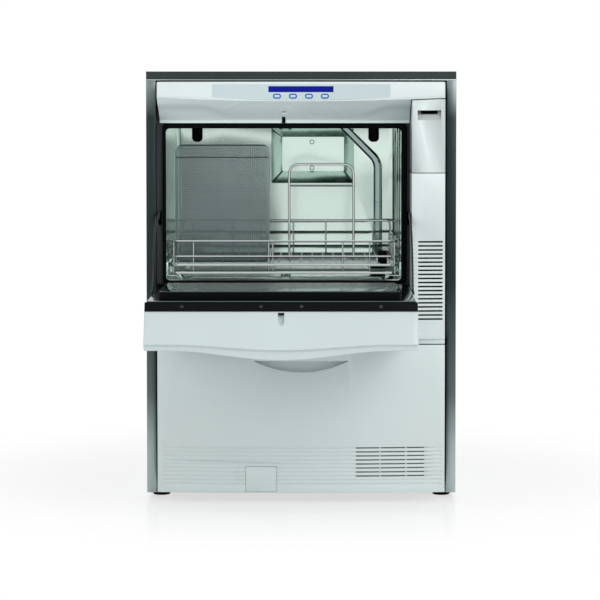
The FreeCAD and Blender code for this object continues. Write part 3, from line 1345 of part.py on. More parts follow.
def door_check_straps():
    """Two curved straps that guide the door and stop it level."""
    shapes = []
    for x in strap_places():
        start = (x, Y_HINGE, Z_HINGE)
        arc = ring(start, (1, 0, 0), STRAP_OUTER, STRAP_INNER, STRAP_THICKNESS)
        angle = math.radians(STRAP_END_ANGLE)
        end_y, end_z = math.cos(angle) * HUGE, math.sin(angle) * HUGE
        keep = side_profile(
            [(Y_HINGE, Z_HINGE), (Y_HINGE + end_y, Z_HINGE + end_z),
             (Y_HINGE - HUGE, Z_HINGE + HUGE), (Y_HINGE - HUGE, Z_HINGE)],
            x - 1, x + STRAP_THICKNESS + 1,
        )
        above = box(x - 1, x + STRAP_THICKNESS + 1, -HUGE, HUGE, Z_HINGE + HINGE_OFFSET, HUGE)
        middle = (STRAP_INNER + STRAP_OUTER) / 2
        run = math.sqrt(middle**2 - HINGE_OFFSET**2)
        foot = box(
            x, x + STRAP_THICKNESS, Y_HINGE - run - 26, Y_HINGE - run + 26,
            Z_HINGE + HINGE_OFFSET, Z_HINGE + HINGE_OFFSET + 7,
        )
        shapes.append(union([arc.common(keep).common(above), foot]))
    return group(shapes)


def rack_frame():
    """Frame of the rack: floor rim, cross bars and roller axles' ears."""
    w = RACK_WIRE
    x0, x1, y0, y1, z = RACK_LEFT, RACK_RIGHT, RACK_FRONT, RACK_BACK, RACK_FLOOR
    bars = [
        box(x0, x1, y0, y0 + w, z, z + w), box(x0, x1, y1 - w, y1, z, z + w),
        box(x0, x0 + w, y0, y1, z, z + w), box(x1 - w, x1, y0, y1, z, z + w),
    ]
    ears = []
    for x in (x0, x1 - 3.0):
        for y in roller_places():
            ears.append(box(x, x + 3.0, y - 6, y + 6, roller_z() - 5, z + w))
    holes = [
        rod((x0 - 1, y, roller_z()), (1, 0, 0), ROLLER_AXLE + RUN_GAP, x1 - x0 + 2)
        for y in roller_places()
    ]
    socket_z = RACK_FLOOR + 30
    socket = rod((COUPLING_X, y0 + 30, z), (0, 0, 1), COUPLING_RADIUS, socket_z - z)
    spar = box(COUPLING_X - 4, COUPLING_X + 4, y0, y1, z, z + w)
    return cut_all(union(bars + ears + [spar, socket]), holes)


def roller_places():
    """Return how far along the rack its two pairs of rollers sit."""
    return [RACK_FRONT + ROLLER_SETBACK, RACK_BACK - ROLLER_SETBACK]


def roller_z():
    """Return the height of the rollers' axles."""
    return SUPPORT_HEIGHT + ROLLER_RADIUS + RUN_GAP


def rollers(y):
    """One pair of rollers on their axle."""
    z = roller_z()
    x0, x1 = RACK_LEFT + 3.0 + RUN_GAP, RACK_RIGHT - 3.0 - RUN_GAP
    axle = rod((RACK_LEFT, y, z), (1, 0, 0), ROLLER_AXLE, RACK_RIGHT - RACK_LEFT)
    left = rod((x0, y, z), (1, 0, 0), ROLLER_RADIUS, ROLLER_WIDTH)
    right = rod((x1 - ROLLER_WIDTH, y, z), (1, 0, 0), ROLLER_RADIUS, ROLLER_WIDTH)
    return union([axle, left, right])


def rack_rails():
    """Two rails on the tub walls that the rollers run on."""
    shapes = []
    y0, y1 = Y_RECESS + TUB_WALL + 2, TUB_BACK - 2
    for x, way in ((TUB_LEFT, 1), (TUB_RIGHT, -1)):
        far = x + way * (SUPPORT_WIDTH + RACK_LEFT - TUB_LEFT)
        low, high = min(x, far), max(x, far)
        shelf = box(low, high, y0, y1, SUPPORT_HEIGHT - 2, SUPPORT_HEIGHT)
        wall_x = x if way > 0 else x - 2
        shapes.append(shelf.fuse(box(wall_x, wall_x + 2, y0, y1, SUPPORT_HEIGHT - 2, SUPPORT_HEIGHT + 26)))
    return group(shapes)


def basket_wires():
    """Wire basket on the rack frame: floor grid, posts and rails."""
    g = GRID_WIRE
    x0, x1, y0, y1 = RACK_LEFT, RACK_RIGHT, RACK_FRONT, RACK_BACK
    base = RACK_FLOOR + RACK_WIRE
    wires = []
    columns = int((x1 - x0) // GRID_PITCH)
    step = (x1 - x0 - g) / columns
    for i in range(columns + 1):
        wires.append(box(x0 + i * step, x0 + i * step + g, y0, y1, base, base + g))
    low = base + g
    tops = {y0: RAIL_LEVELS[-1], y1 - g: REAR_RAIL_LEVEL}
    for y, top in tops.items():
        for i in (0, columns // 2, columns):
            x = x0 + i * step
            wires.append(box(x, x + g, y, y + g, low, top))
        wires.append(box(x0, x1, y, y + g, top, top + g))
    for x in (x0, x1 - g):
        wires.append(box(x, x + g, y0 + g, y1 - g, RAIL_LEVELS[-1], RAIL_LEVELS[-1] + g))
    post = x0 + columns // 2 * step
    for left, right in ((x0 + g, post), (post + g, x1 - g)):
        wires.append(box(left, right, y0, y0 + g, RAIL_LEVELS[0], RAIL_LEVELS[0] + g))
    return group(wires)


def cassette_tray():
    """Cassette standing on edge in the basket: perforated front plate on a plain rim."""
    x0, x1 = CASSETTE_LEFT, CASSETTE_LEFT + CASSETTE_WIDTH
    y0, y1 = CASSETTE_FRONT, CASSETTE_FRONT + CASSETTE_DEPTH
    z0 = RACK_FLOOR + RACK_WIRE + GRID_WIRE + RUN_GAP
    z1 = z0 + CASSETTE_HEIGHT
    w = CASSETTE_WALL
    plate = rounded(x0, x1, y0, y0 + w, z0, z1, CASSETTE_CORNER, "y")
    rim = rounded(x0, x1, y0 + w, y1, z0, z1, CASSETTE_CORNER, "y")
    room = rounded(x0 + w, x1 - w, y0, y1 + w, z0 + w, z1 - w, CASSETTE_CORNER - w, "y")
    columns = int((CASSETTE_WIDTH - CASSETTE_RIM * 2) // CASSETTE_HOLE_PITCH)
    rows = int((CASSETTE_HEIGHT - CASSETTE_RIM * 2) // CASSETTE_HOLE_PITCH)
    holes = []
    for i in range(columns + 1):
        for j in range(rows + 1):
            x = x0 + CASSETTE_RIM + i * CASSETTE_HOLE_PITCH
            z = z0 + CASSETTE_RIM + j * CASSETTE_HOLE_PITCH
            holes.append(box(x, x + CASSETTE_HOLE, y0 - w, y0 + 2 * w, z, z + CASSETTE_HOLE))
    return group([cut_all(plate, holes), rim.cut(room)])


def holder_arch():
    """Wire arch that holds pieces upright behind the front of the basket."""
    z0 = RACK_FLOOR + RACK_WIRE + GRID_WIRE + RUN_GAP
    wire = 2.5
    points = [
        (ARCH_LEFT, ARCH_Y, z0), (ARCH_LEFT, ARCH_Y, ARCH_TOP),
        (ARCH_RIGHT, ARCH_Y, ARCH_TOP), (ARCH_RIGHT, ARCH_Y, z0),
    ]
    arch = pipe(points, ARCH_BEND, wire)
    cross = rod((ARCH_LEFT, ARCH_Y, ARCH_CROSS), (1, 0, 0), wire * 0.8, ARCH_RIGHT - ARCH_LEFT)
    reach = GRID_PITCH / 2
    base = box(ARCH_LEFT - reach, ARCH_RIGHT + reach, ARCH_Y - wire, ARCH_Y + wire, z0, z0 + 2 * wire)
    return union([arch, cross, base])


def drawer_back():
    """Return the back of the drawer's front shell."""
    return Y_CROWN + SKIN_DEPTH


def flap_box(grow):
    """Return the limits of the flap or of its opening."""
    return (
        FLAP_LEFT - grow, FLAP_LEFT + FLAP_WIDTH + grow,
        FLAP_BOTTOM - grow, FLAP_BOTTOM + FLAP_HEIGHT + grow,
    )


def flap_axis():
    """Return (y, z) of the flap's pin."""
    return front_y(FLAP_LEFT) + FLAP_PIN + 1.0, FLAP_BOTTOM + FLAP_HEIGHT - FLAP_PIN_DROP


def drawer_front():
    """Front of the service drawer: grip, grooves, vents and flap opening."""
    half, back, w = FRONT_HALF_WIDTH, drawer_back(), SKIN_WALL
    shell = skin_slab(-half, half, back, DRAWER_BOTTOM, DRAWER_TOP)
    shell = shell.cut(skin_slab(-half + w, half - w, back + 1, DRAWER_BOTTOM + w, DRAWER_TOP - w, w))
    grip = GRIP_WIDTH / 2
    y_in = Y_CROWN + GRIP_DEPTH
    cup = bowed(-grip - w, grip + w, GRIP_TOP + w, GRIP_TOP - w, GRIP_TOP - GRIP_DROP - w, Y_CROWN, y_in + w)
    cup = cup.common(skin_slab(-half, half, back, DRAWER_BOTTOM, DRAWER_TOP))
    hollow = bowed(-grip, grip, GRIP_TOP, GRIP_TOP - 0.5, GRIP_TOP - GRIP_DROP, Y_CROWN - 5, y_in)
    tools = [hollow]
    for row in range(GROOVE_COUNT):
        z = GROOVE_TOP - row * GROOVE_PITCH
        y = front_y(0) - 5
        band = skin_slab(GROOVE_LEFT, GROOVE_RIGHT, Y_BACK, z - GROOVE_HEIGHT, z, GROOVE_DEPTH)
        outer = box(GROOVE_LEFT, GROOVE_RIGHT, y, Y_FRONT, z - GROOVE_HEIGHT, z)
        tools.append(outer.cut(band))
        if row < VENT_COUNT:
            edges = [VENT_LEFT, *VENT_RIBS, GROOVE_RIGHT]
            for left, right in zip(edges, edges[1:]):
                inner = left if left == VENT_LEFT else left + VENT_RIB_WIDTH
                tools.append(box(inner, right, y, Y_CROWN + 14, z - GROOVE_HEIGHT, z))
    x0, x1, z0, z1 = flap_box(FLAP_GAP)
    tools.append(box(x0, x1, Y_CROWN - 5, Y_CROWN + 12, z0, z1))
    y, z = flap_axis()
    ears = []
    for x in (x0 - 3.0, x1):
        ear = box(x, x + 3.0, front_y(FLAP_LEFT), y + 4, z - 4, z + 4)
        ears.append(ear.common(skin_slab(-half, half, back, DRAWER_BOTTOM, DRAWER_TOP)))
    pin_hole = rod((x0 - 2.4, y, z), (1, 0, 0), FLAP_PIN + PIVOT_CLEARANCE, x1 - x0 + 4.8)
    return cut_all(union([shell, cup] + ears), tools + [pin_hole])


def service_flap():
    """Small flap in the drawer front on two stub pins."""
    x0, x1, z0, z1 = flap_box(0.0)
    inner = skin_slab(x0 - 1, x1 + 1, Y_BACK + 1, z0 - 1, z1 + 1, SKIN_WALL)
    plate = skin_slab(x0, x1, Y_BACK, z0, z1).cut(inner)
    y, z = flap_axis()
    barrel = rod((x0, y, z), (1, 0, 0), FLAP_PIN + 0.9, x1 - x0)
    reach = FLAP_GAP + 2.0
    pin = rod((x0 - reach, y, z), (1, 0, 0), FLAP_PIN, x1 - x0 + 2 * reach)
    flap = union([plate, barrel, pin])
    corner = rod((x0 - 10, y, z), (1, 0, 0), z1 - z + FLAP_GAP * 0.5, x1 - x0 + 20)
    top = box(x0 - 10, x1 + 10, y - 40, y + 40, z, z1 + 5)
    return flap.cut(top.cut(corner))


def tray_limits():
    """Return the drawer tray's limits."""
    y0 = drawer_back()
    return -DRAWER_TRAY_HALF, DRAWER_TRAY_HALF, y0, y0 + DRAWER_TRAY_LENGTH


def drawer_tray():
    """Tray behind the drawer front, with its moving runner strips."""
    x0, x1, y0, y1 = tray_limits()
    z0, z1 = DRAWER_TRAY_BOTTOM, DRAWER_TRAY_BOTTOM + DRAWER_TRAY_HEIGHT
    w = TRAY_WALL
    tray = box(x0, x1, y0, y1, z0, z1).cut(box(x0 + w, x1 - w, y0 + w, y1 - w, z0 + w, z1 + 1))
    fixings = []
    for x, way in ((x0, -1), (x1, 1)):
        a, b = sorted((x, x + way * (RUNNER_WIDTH - 4)))
        fixings.append(box(a, b, y0, y1, RUNNER_LEVEL, RUNNER_LEVEL + RUNNER_HEIGHT - 10))
    half = FRONT_HALF_WIDTH - SKIN_WALL / 2
    plate = box(-half, half, y0, y0 + w, z0, z1 + 120)
    window = box(x0 + 40, x1 - 40, y0 - 1, y0 + w + 1, z1 + 10, z1 + 100)
    return cut_all(union([tray, plate] + fixings), [window])


def drawer_runners():
    """Fixed runner channels on brackets from the base pan."""
    x0, x1, y0, y1 = tray_limits()
    y0 = Y_FRONT + RETURN_DEPTH + 2 * SHEET
    z0, z1 = RUNNER_LEVEL - 4 - RUN_GAP, RUNNER_LEVEL + RUNNER_HEIGHT - 6 + RUN_GAP
    shapes = []
    for x, way in ((x0, -1), (x1, 1)):
        near, far = x + way * RUN_GAP * 2, x + way * (RUNNER_WIDTH + RUN_GAP)
        a, b = sorted((near, far))
        channel = box(a, b, y0, y1 + 60, z0, z1)
        c, d = sorted((near - way, x + way * (RUNNER_WIDTH - 4 + RUN_GAP)))
        slot = box(c, d, y0 - 1, y1 + 10, RUNNER_LEVEL - RUN_GAP, RUNNER_LEVEL + RUNNER_HEIGHT - 10 + RUN_GAP)
        legs = [box(a, b, y, y + 20, PAN_FLOOR, z0 + 1) for y in (y0 + 10, y1 + 20)]
        shapes.append(union([channel] + legs).cut(slot))
    return group(shapes)


def dosing_bottles():
    """Two supply bottles standing in the drawer."""
    x0, x1, y0, y1 = tray_limits()
    z0 = DRAWER_TRAY_BOTTOM + TRAY_WALL
    shapes = []
    for x in (x0 / 2, x1 / 2):
        y = (y0 + y1) / 2 - 20
        body = rod((x, y, z0), (0, 0, 1), BOTTLE_RADIUS, BOTTLE_HEIGHT)
        rim = [edge for edge in body.Edges if edge.BoundBox.ZMin > z0 + BOTTLE_HEIGHT - 0.01]
        body = body.makeFillet(18.0, rim)
        neck = rod((x, y, z0), (0, 0, 1), BOTTLE_NECK, BOTTLE_HEIGHT + 24)
        room = rod((x, y, z0 + BOTTLE_WALL), (0, 0, 1), BOTTLE_RADIUS - BOTTLE_WALL, BOTTLE_HEIGHT - 22)
        shapes.append(body.fuse(neck).cut(room))
    return group(shapes)


def nodes():
    """Return every sub-part's shape by its node name."""
    pieces = {
        "base_pan": base_pan(), "feet": feet(),
        "left_side_panel": side_panel(-1), "right_side_panel": side_panel(1),
        "top_lid": top_lid(), "rear_panel": rear_panel(), "front_bulkhead": front_bulkhead(),
        "crossbar": crossbar(), "hinge_brackets": hinge_brackets(),
        "control_fascia": control_fascia(), "fascia_label": fascia_label(),
        "display_module": display_module(), "lock_bolt": lock_bolt(), "door_lock": door_lock(),
        "column_upper_cover": column_upper_cover(), "card_reader": card_reader(),
        "column_lower_cover": column_lower_cover(), "controller_board": controller_board(),
        "chamber_tub": chamber_tub(), "mouth_gasket": mouth_gasket(), "rack_rails": rack_rails(),
        "sump_pot": sump_pot(), "sump_filter": sump_filter(), "heater_coil": heater_coil(),
        "lower_spray_arm": spray_arm(LOWER_ARM_HEIGHT, True),
        "upper_spray_arm": spray_arm(UPPER_ARM_HEIGHT, False),
        "feed_pipe": feed_pipe(), "circulation_pump": circulation_pump(),
        "pump_impeller": pump_impeller(), "suction_hose": suction_hose(),
        "drain_pump": drain_pump(), "blower_housing": blower_housing(),
        "blower_wheel": blower_wheel(), "air_filter": air_filter(),
        "water_softener": water_softener(), "dosing_pumps": dosing_pumps(),
        "inlet_valves": inlet_valves(), "mains_gland": mains_gland(),
        "door_outer_panel": door_outer_panel(), "door_inner_pan": door_inner_pan(),
        "door_pan_seal": door_pan_seal(), "door_edge_strip": door_edge_strip(),
        "door_edge_screws": door_edge_screws(), "latch_keeper": latch_keeper(),
        "door_check_straps": door_check_straps(),
        "rack_frame": rack_frame(), "basket_wires": basket_wires(),
        "cassette_tray": cassette_tray(), "holder_arch": holder_arch(),
        "drawer_front": drawer_front(), "service_flap": service_flap(),
        "drawer_tray": drawer_tray(), "drawer_runners": drawer_runners(),
        "dosing_bottles": dosing_bottles(),
    }
    front, rear = roller_places()
    pieces["front_rollers"] = rollers(front)
    pieces["rear_rollers"] = rollers(rear)
    for index in range(BUTTON_COUNT):
        pieces[f"button_{index + 1}"] = button(index)
    return pieces


def main():
    """Write one STEP file for each node."""
    os.makedirs("parts", exist_ok=True)
    for name, shape in nodes().items():
        shape.exportStep(f"parts/{name}.step")
        print(name, len(shape.Solids), shape.isValid())


main()
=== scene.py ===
"""A floor-standing thermal washer-disinfector with its door open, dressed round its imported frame.

Everything is in metres, in the frame's axes: +Z is up and the front faces -Y.
"""

import json
import logging
import math
from dataclasses import dataclass
from enum import Enum
from typing import Callable, Iterable, Sequence

import bmesh
import bpy
from mathutils import Matrix, Vector


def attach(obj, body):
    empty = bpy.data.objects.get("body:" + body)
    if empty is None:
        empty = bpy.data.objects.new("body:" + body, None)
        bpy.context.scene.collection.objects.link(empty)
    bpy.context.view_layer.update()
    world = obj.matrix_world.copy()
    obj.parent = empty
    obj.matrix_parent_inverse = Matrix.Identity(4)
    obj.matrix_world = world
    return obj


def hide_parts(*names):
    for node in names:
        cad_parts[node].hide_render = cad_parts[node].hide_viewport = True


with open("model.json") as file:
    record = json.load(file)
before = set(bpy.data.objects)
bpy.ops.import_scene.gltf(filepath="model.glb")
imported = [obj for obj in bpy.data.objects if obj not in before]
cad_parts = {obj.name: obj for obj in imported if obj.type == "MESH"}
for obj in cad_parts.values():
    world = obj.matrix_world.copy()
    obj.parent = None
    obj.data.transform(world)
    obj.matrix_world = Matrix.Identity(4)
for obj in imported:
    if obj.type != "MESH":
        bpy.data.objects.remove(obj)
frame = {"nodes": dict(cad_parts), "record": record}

log = logging.getLogger("washer")
MM = 0.001
Colour = tuple[float, float, float]
Triple = tuple[float, float, float]


class Body(Enum):
    """The bodies that pieces ride on."""

    CABINET = "cabinet"
    DOOR = "door"
    RACK = "rack"
    FRONT_ROLLERS = "front_roller_pair"
    REAR_ROLLERS = "rear_roller_pair"
    DRAWER = "drawer"
    FLAP = "flap"
    LOWER_ARM = "lower_arm"
    UPPER_ARM = "upper_arm"
    BOLT = "bolt"
    KEY_1 = "key_1"
    KEY_2 = "key_2"
    KEY_3 = "key_3"
    KEY_4 = "key_4"


@dataclass(frozen=True)
class Finish:
    """One surface finish, worked in the piece's own coordinates.

    Colours are display values from 0 to 255, and frequencies are cycles per metre along X, Y and Z.
    """

    slot: str
    colour: Colour
    roughness: float
    metallic: float = 0.0
    grain: Triple = (1100.0, 1100.0, 1100.0)
    grain_depth: float = 0.00001
    grain_tone: float = 0.012
    cloud: float = 0.02
    cloud_size: float = 6.0
    wave: Triple = (0.0, 0.0, 0.0)
    wave_depth: float = 0.0
    coat: float = 0.0
    specular: float = 0.5
    glow: float = 0.0
    # Painted reflection: colour stops by height that stand in for the bands the polished steel reflects.
    painted_reflection_stops: tuple[tuple[float, Colour], ...] = ()
    name: str = ""

    @property
    def key(self) -> str:
        """Name the finish goes by."""
        return self.name or self.slot

    def build(self) -> bpy.types.Material:
        """Make the material.

        Returns:
            A node material with a toned colour (a painted reflection by height where stops are given), an uneven
            roughness and a fine relief.
        """
        material = bpy.data.materials.new(self.key)
        material.use_nodes = True
        tree = material.node_tree
        shader = tree.nodes["Principled BSDF"]
        place = tree.nodes.new("ShaderNodeTexCoord").outputs["Object"]
        fine = self._noise(tree, place, self.grain, 3.0)
        broad = self._noise(tree, place, (self.cloud_size,) * 3, 2.0)
        tone = tree.nodes.new("ShaderNodeMath")
        tone.operation = "MULTIPLY"
        tree.links.new(self._spread(tree, fine, 1.0, self.grain_tone), tone.inputs[0])
        tree.links.new(self._spread(tree, broad, 1.0, self.cloud), tone.inputs[1])
        tint = tree.nodes.new("ShaderNodeVectorMath")
        tint.operation = "SCALE"
        # Painted reflection: where stops are given, the colour changes with height.
        if self.painted_reflection_stops:
            tree.links.new(self._painted_reflection(tree, place), tint.inputs[0])
        else:
            tint.inputs[0].default_value = linear(self.colour)
        tree.links.new(tone.outputs[0], tint.inputs["Scale"])
        tree.links.new(tint.outputs[0], shader.inputs["Base Color"])
        rough = self._spread(tree, broad, self.roughness, self.roughness * 0.12)
        tree.links.new(rough, shader.inputs["Roughness"])
        relief = self._relief(tree, fine, self.grain_depth, None)
        if self.wave_depth:
            swell = self._noise(tree, place, self.wave, 1.0)
            relief = self._relief(tree, swell, self.wave_depth, relief)
        tree.links.new(relief, shader.inputs["Normal"])
        shader.inputs["Metallic"].default_value = self.metallic
        shader.inputs["Coat Weight"].default_value = self.coat
        shader.inputs["Specular IOR Level"].default_value = self.specular
        if self.glow:
            shader.inputs["Emission Color"].default_value = (*linear(self.colour), 1.0)
            shader.inputs["Emission Strength"].default_value = self.glow
        return material

    def _noise(self, tree: bpy.types.NodeTree, place: bpy.types.NodeSocket, scale: Triple,
               detail: float) -> bpy.types.NodeSocket:
        """Add a noise stretched by a scale.

        Args:
            tree: The node tree.
            place: The coordinates to read.
            scale: Cycles per metre along each axis.
            detail: How many finer layers the noise has.

        Returns:
            The noise's value.
        """
        stretch = tree.nodes.new("ShaderNodeMapping")
        stretch.inputs["Scale"].default_value = scale
        noise = tree.nodes.new("ShaderNodeTexNoise")
        noise.inputs["Scale"].default_value = 1.0
        noise.inputs["Detail"].default_value = detail
        tree.links.new(place, stretch.inputs["Vector"])
        tree.links.new(stretch.outputs[0], noise.inputs["Vector"])
        return noise.outputs[0]

    def _spread(self, tree: bpy.types.NodeTree, value: bpy.types.NodeSocket, middle: float,
                reach: float) -> bpy.types.NodeSocket:
        """Map a noise to a range about a middle value.

        Args:
            tree: The node tree.
            value: The noise.
            middle: The range's middle.
            reach: How far it goes each way.

        Returns:
            The mapped value.
        """
        remap = tree.nodes.new("ShaderNodeMapRange")
        remap.inputs["From Min"].default_value = 0.25
        remap.inputs["From Max"].default_value = 0.75
        remap.inputs["To Min"].default_value = middle - reach
        remap.inputs["To Max"].default_value = middle + reach
        tree.links.new(value, remap.inputs["Value"])
        return remap.outputs[0]

    def _relief(self, tree: bpy.types.NodeTree, height: bpy.types.NodeSocket, depth: float,
                below: bpy.types.NodeSocket | None) -> bpy.types.NodeSocket:
        """Add a relief over another.

        Args:
            tree: The node tree.
            height: The relief's height.
            depth: Its depth in metres.
            below: The relief under it.

        Returns:
            The bent normal.
        """
        bump = tree.nodes.new("ShaderNodeBump")
        bump.inputs["Distance"].default_value = depth
        tree.links.new(height, bump.inputs["Height"])
        if below:
            tree.links.new(below, bump.inputs["Normal"])
        return bump.outputs[0]

    def _painted_reflection(self, tree: bpy.types.NodeTree, place: bpy.types.NodeSocket) -> bpy.types.NodeSocket:
        """Add the painted reflection: colours that change with height, standing in for the light and dark bands the
        steel reflects.

        Args:
            tree: The node tree.
            place: The coordinates to read.

        Returns:
            The colour.
        """
        split = tree.nodes.new("ShaderNodeSeparateXYZ")
        tree.links.new(place, split.inputs[0])
        ramp = tree.nodes.new("ShaderNodeValToRGB")
        tree.links.new(split.outputs["Z"], ramp.inputs[0])
        stops = ramp.color_ramp.elements
        while len(stops) < len(self.painted_reflection_stops):
            stops.new(0.5)
        for stop, (height, colour) in zip(stops, self.painted_reflection_stops):
            stop.position = height
            stop.color = (*linear(colour), 1.0)
        return ramp.outputs[0]


def linear(colour: Colour) -> Triple:
    """Turn a display colour into a linear one.

    Args:
        colour: Red, green and blue from 0 to 255.

    Returns:
        Red, green and blue from 0 to 1.
    """
    shares = (value / 255.0 for value in colour)
    return tuple(s / 12.92 if s <= 0.04045 else ((s + 0.055) / 1.055) ** 2.4 for s in shares)


FINISHES: dict[str, Finish] = {
    finish.key: finish
    for finish in (
        Finish("lid_steel", (60, 67, 67), 0.34, 1.0, (12.0, 900.0, 900.0), 0.000006, 0.05, 0.05),
        # Side steel carries a painted reflection: light at the foot, dark through the middle, lighter near the top.
        Finish("side_steel", (150, 158, 158), 0.36, 1.0, (700.0, 700.0, 10.0), 0.000006, 0.05, 0.03,
               painted_reflection_stops=((0.01, (188, 203, 202)), (0.09, (170, 186, 185)), (0.2, (96, 107, 108)),
                     (0.42, (44, 53, 54)), (0.74, (48, 56, 58)), (0.8, (120, 133, 133)))),
        Finish("chamber_steel", (204, 222, 214), 0.14, 1.0, (500.0, 500.0, 500.0), 0.000002, 0.02, 0.05,
               wave=(7.0, 9.0, 6.0), wave_depth=0.004),
        Finish("liner_steel", (104, 122, 124), 0.13, 1.0, (10.0, 700.0, 700.0), 0.000004, 0.03, 0.04),
        Finish("wire_steel", (196, 200, 200), 0.16, 1.0, (300.0, 300.0, 300.0), 0.000003, 0.03, 0.06),
        Finish("strap_steel", (52, 56, 58), 0.3, 1.0, (600.0, 600.0, 600.0), 0.000006, 0.05, 0.05),
        Finish("zinc_steel", (168, 172, 170), 0.42, 1.0, (60.0, 60.0, 60.0), 0.000006, 0.08, 0.06),
        Finish("white_plastic", (212, 222, 222), 0.3, coat=0.1),
        Finish("label_film", (188, 203, 205), 0.34),
        Finish("display_glass", (4, 16, 118), 0.3, specular=0.1, glow=0.45),
        Finish("button_plastic", (170, 205, 232), 0.3),
        Finish("seal_rubber", (7, 10, 12), 0.6, grain_depth=0.00003, grain_tone=0.06, specular=0.04),
        Finish("black_plastic", (12, 14, 17), 0.5, grain_depth=0.00003, grain_tone=0.05, specular=0.05),
        Finish("grey_plastic", (120, 128, 130), 0.45),
        Finish("pump_plastic", (52, 58, 62), 0.5, grain_depth=0.00003),
        Finish("hose_rubber", (34, 36, 38), 0.6, grain_depth=0.00004),
        Finish("tank_plastic", (226, 226, 214), 0.42),
        Finish("brass", (190, 150, 84), 0.3, 1.0),
        Finish("board_green", (22, 88, 56), 0.4),
        Finish("filter_paper", (228, 224, 206), 0.85, grain_depth=0.00008, grain_tone=0.05),
        # A lighter copy of the white plastic: painted light on the down-facing cove and the latch pocket, which the
        # lamps leave too dark.
        Finish("white_plastic", (232, 245, 245), 0.26, coat=0.2, name="cove_white"),
        # A darker copy of the white plastic: painted shade that darkens the open door.
        Finish("white_plastic", (197, 210, 210), 0.3, coat=0.1, name="door_white"),
        Finish("button_plastic", (14, 66, 158), 0.25, name="button_ring"),
        # A light copy of the lid steel: the painted highlight along the lid's lower front edge.
        Finish("lid_steel", (196, 206, 206), 0.3, 1.0, name="lid_trim"),
        # A darker copy of the chamber steel: painted shade on the riser pipe.
        Finish("chamber_steel", (150, 166, 164), 0.1, 1.0, name="riser_steel"),
        Finish("black_plastic", (62, 70, 72), 0.5, specular=0.2, name="bulkhead_black"),
        Finish("chamber_steel", (116, 130, 131), 0.34, 1.0, name="cassette_steel"),
        # Darker steel for the liner's slot plates: painted shade.
        Finish("strap_steel", (88, 98, 98), 0.5, 0.4, name="pocket_steel"),
    )
}


Pair = tuple[float, float]


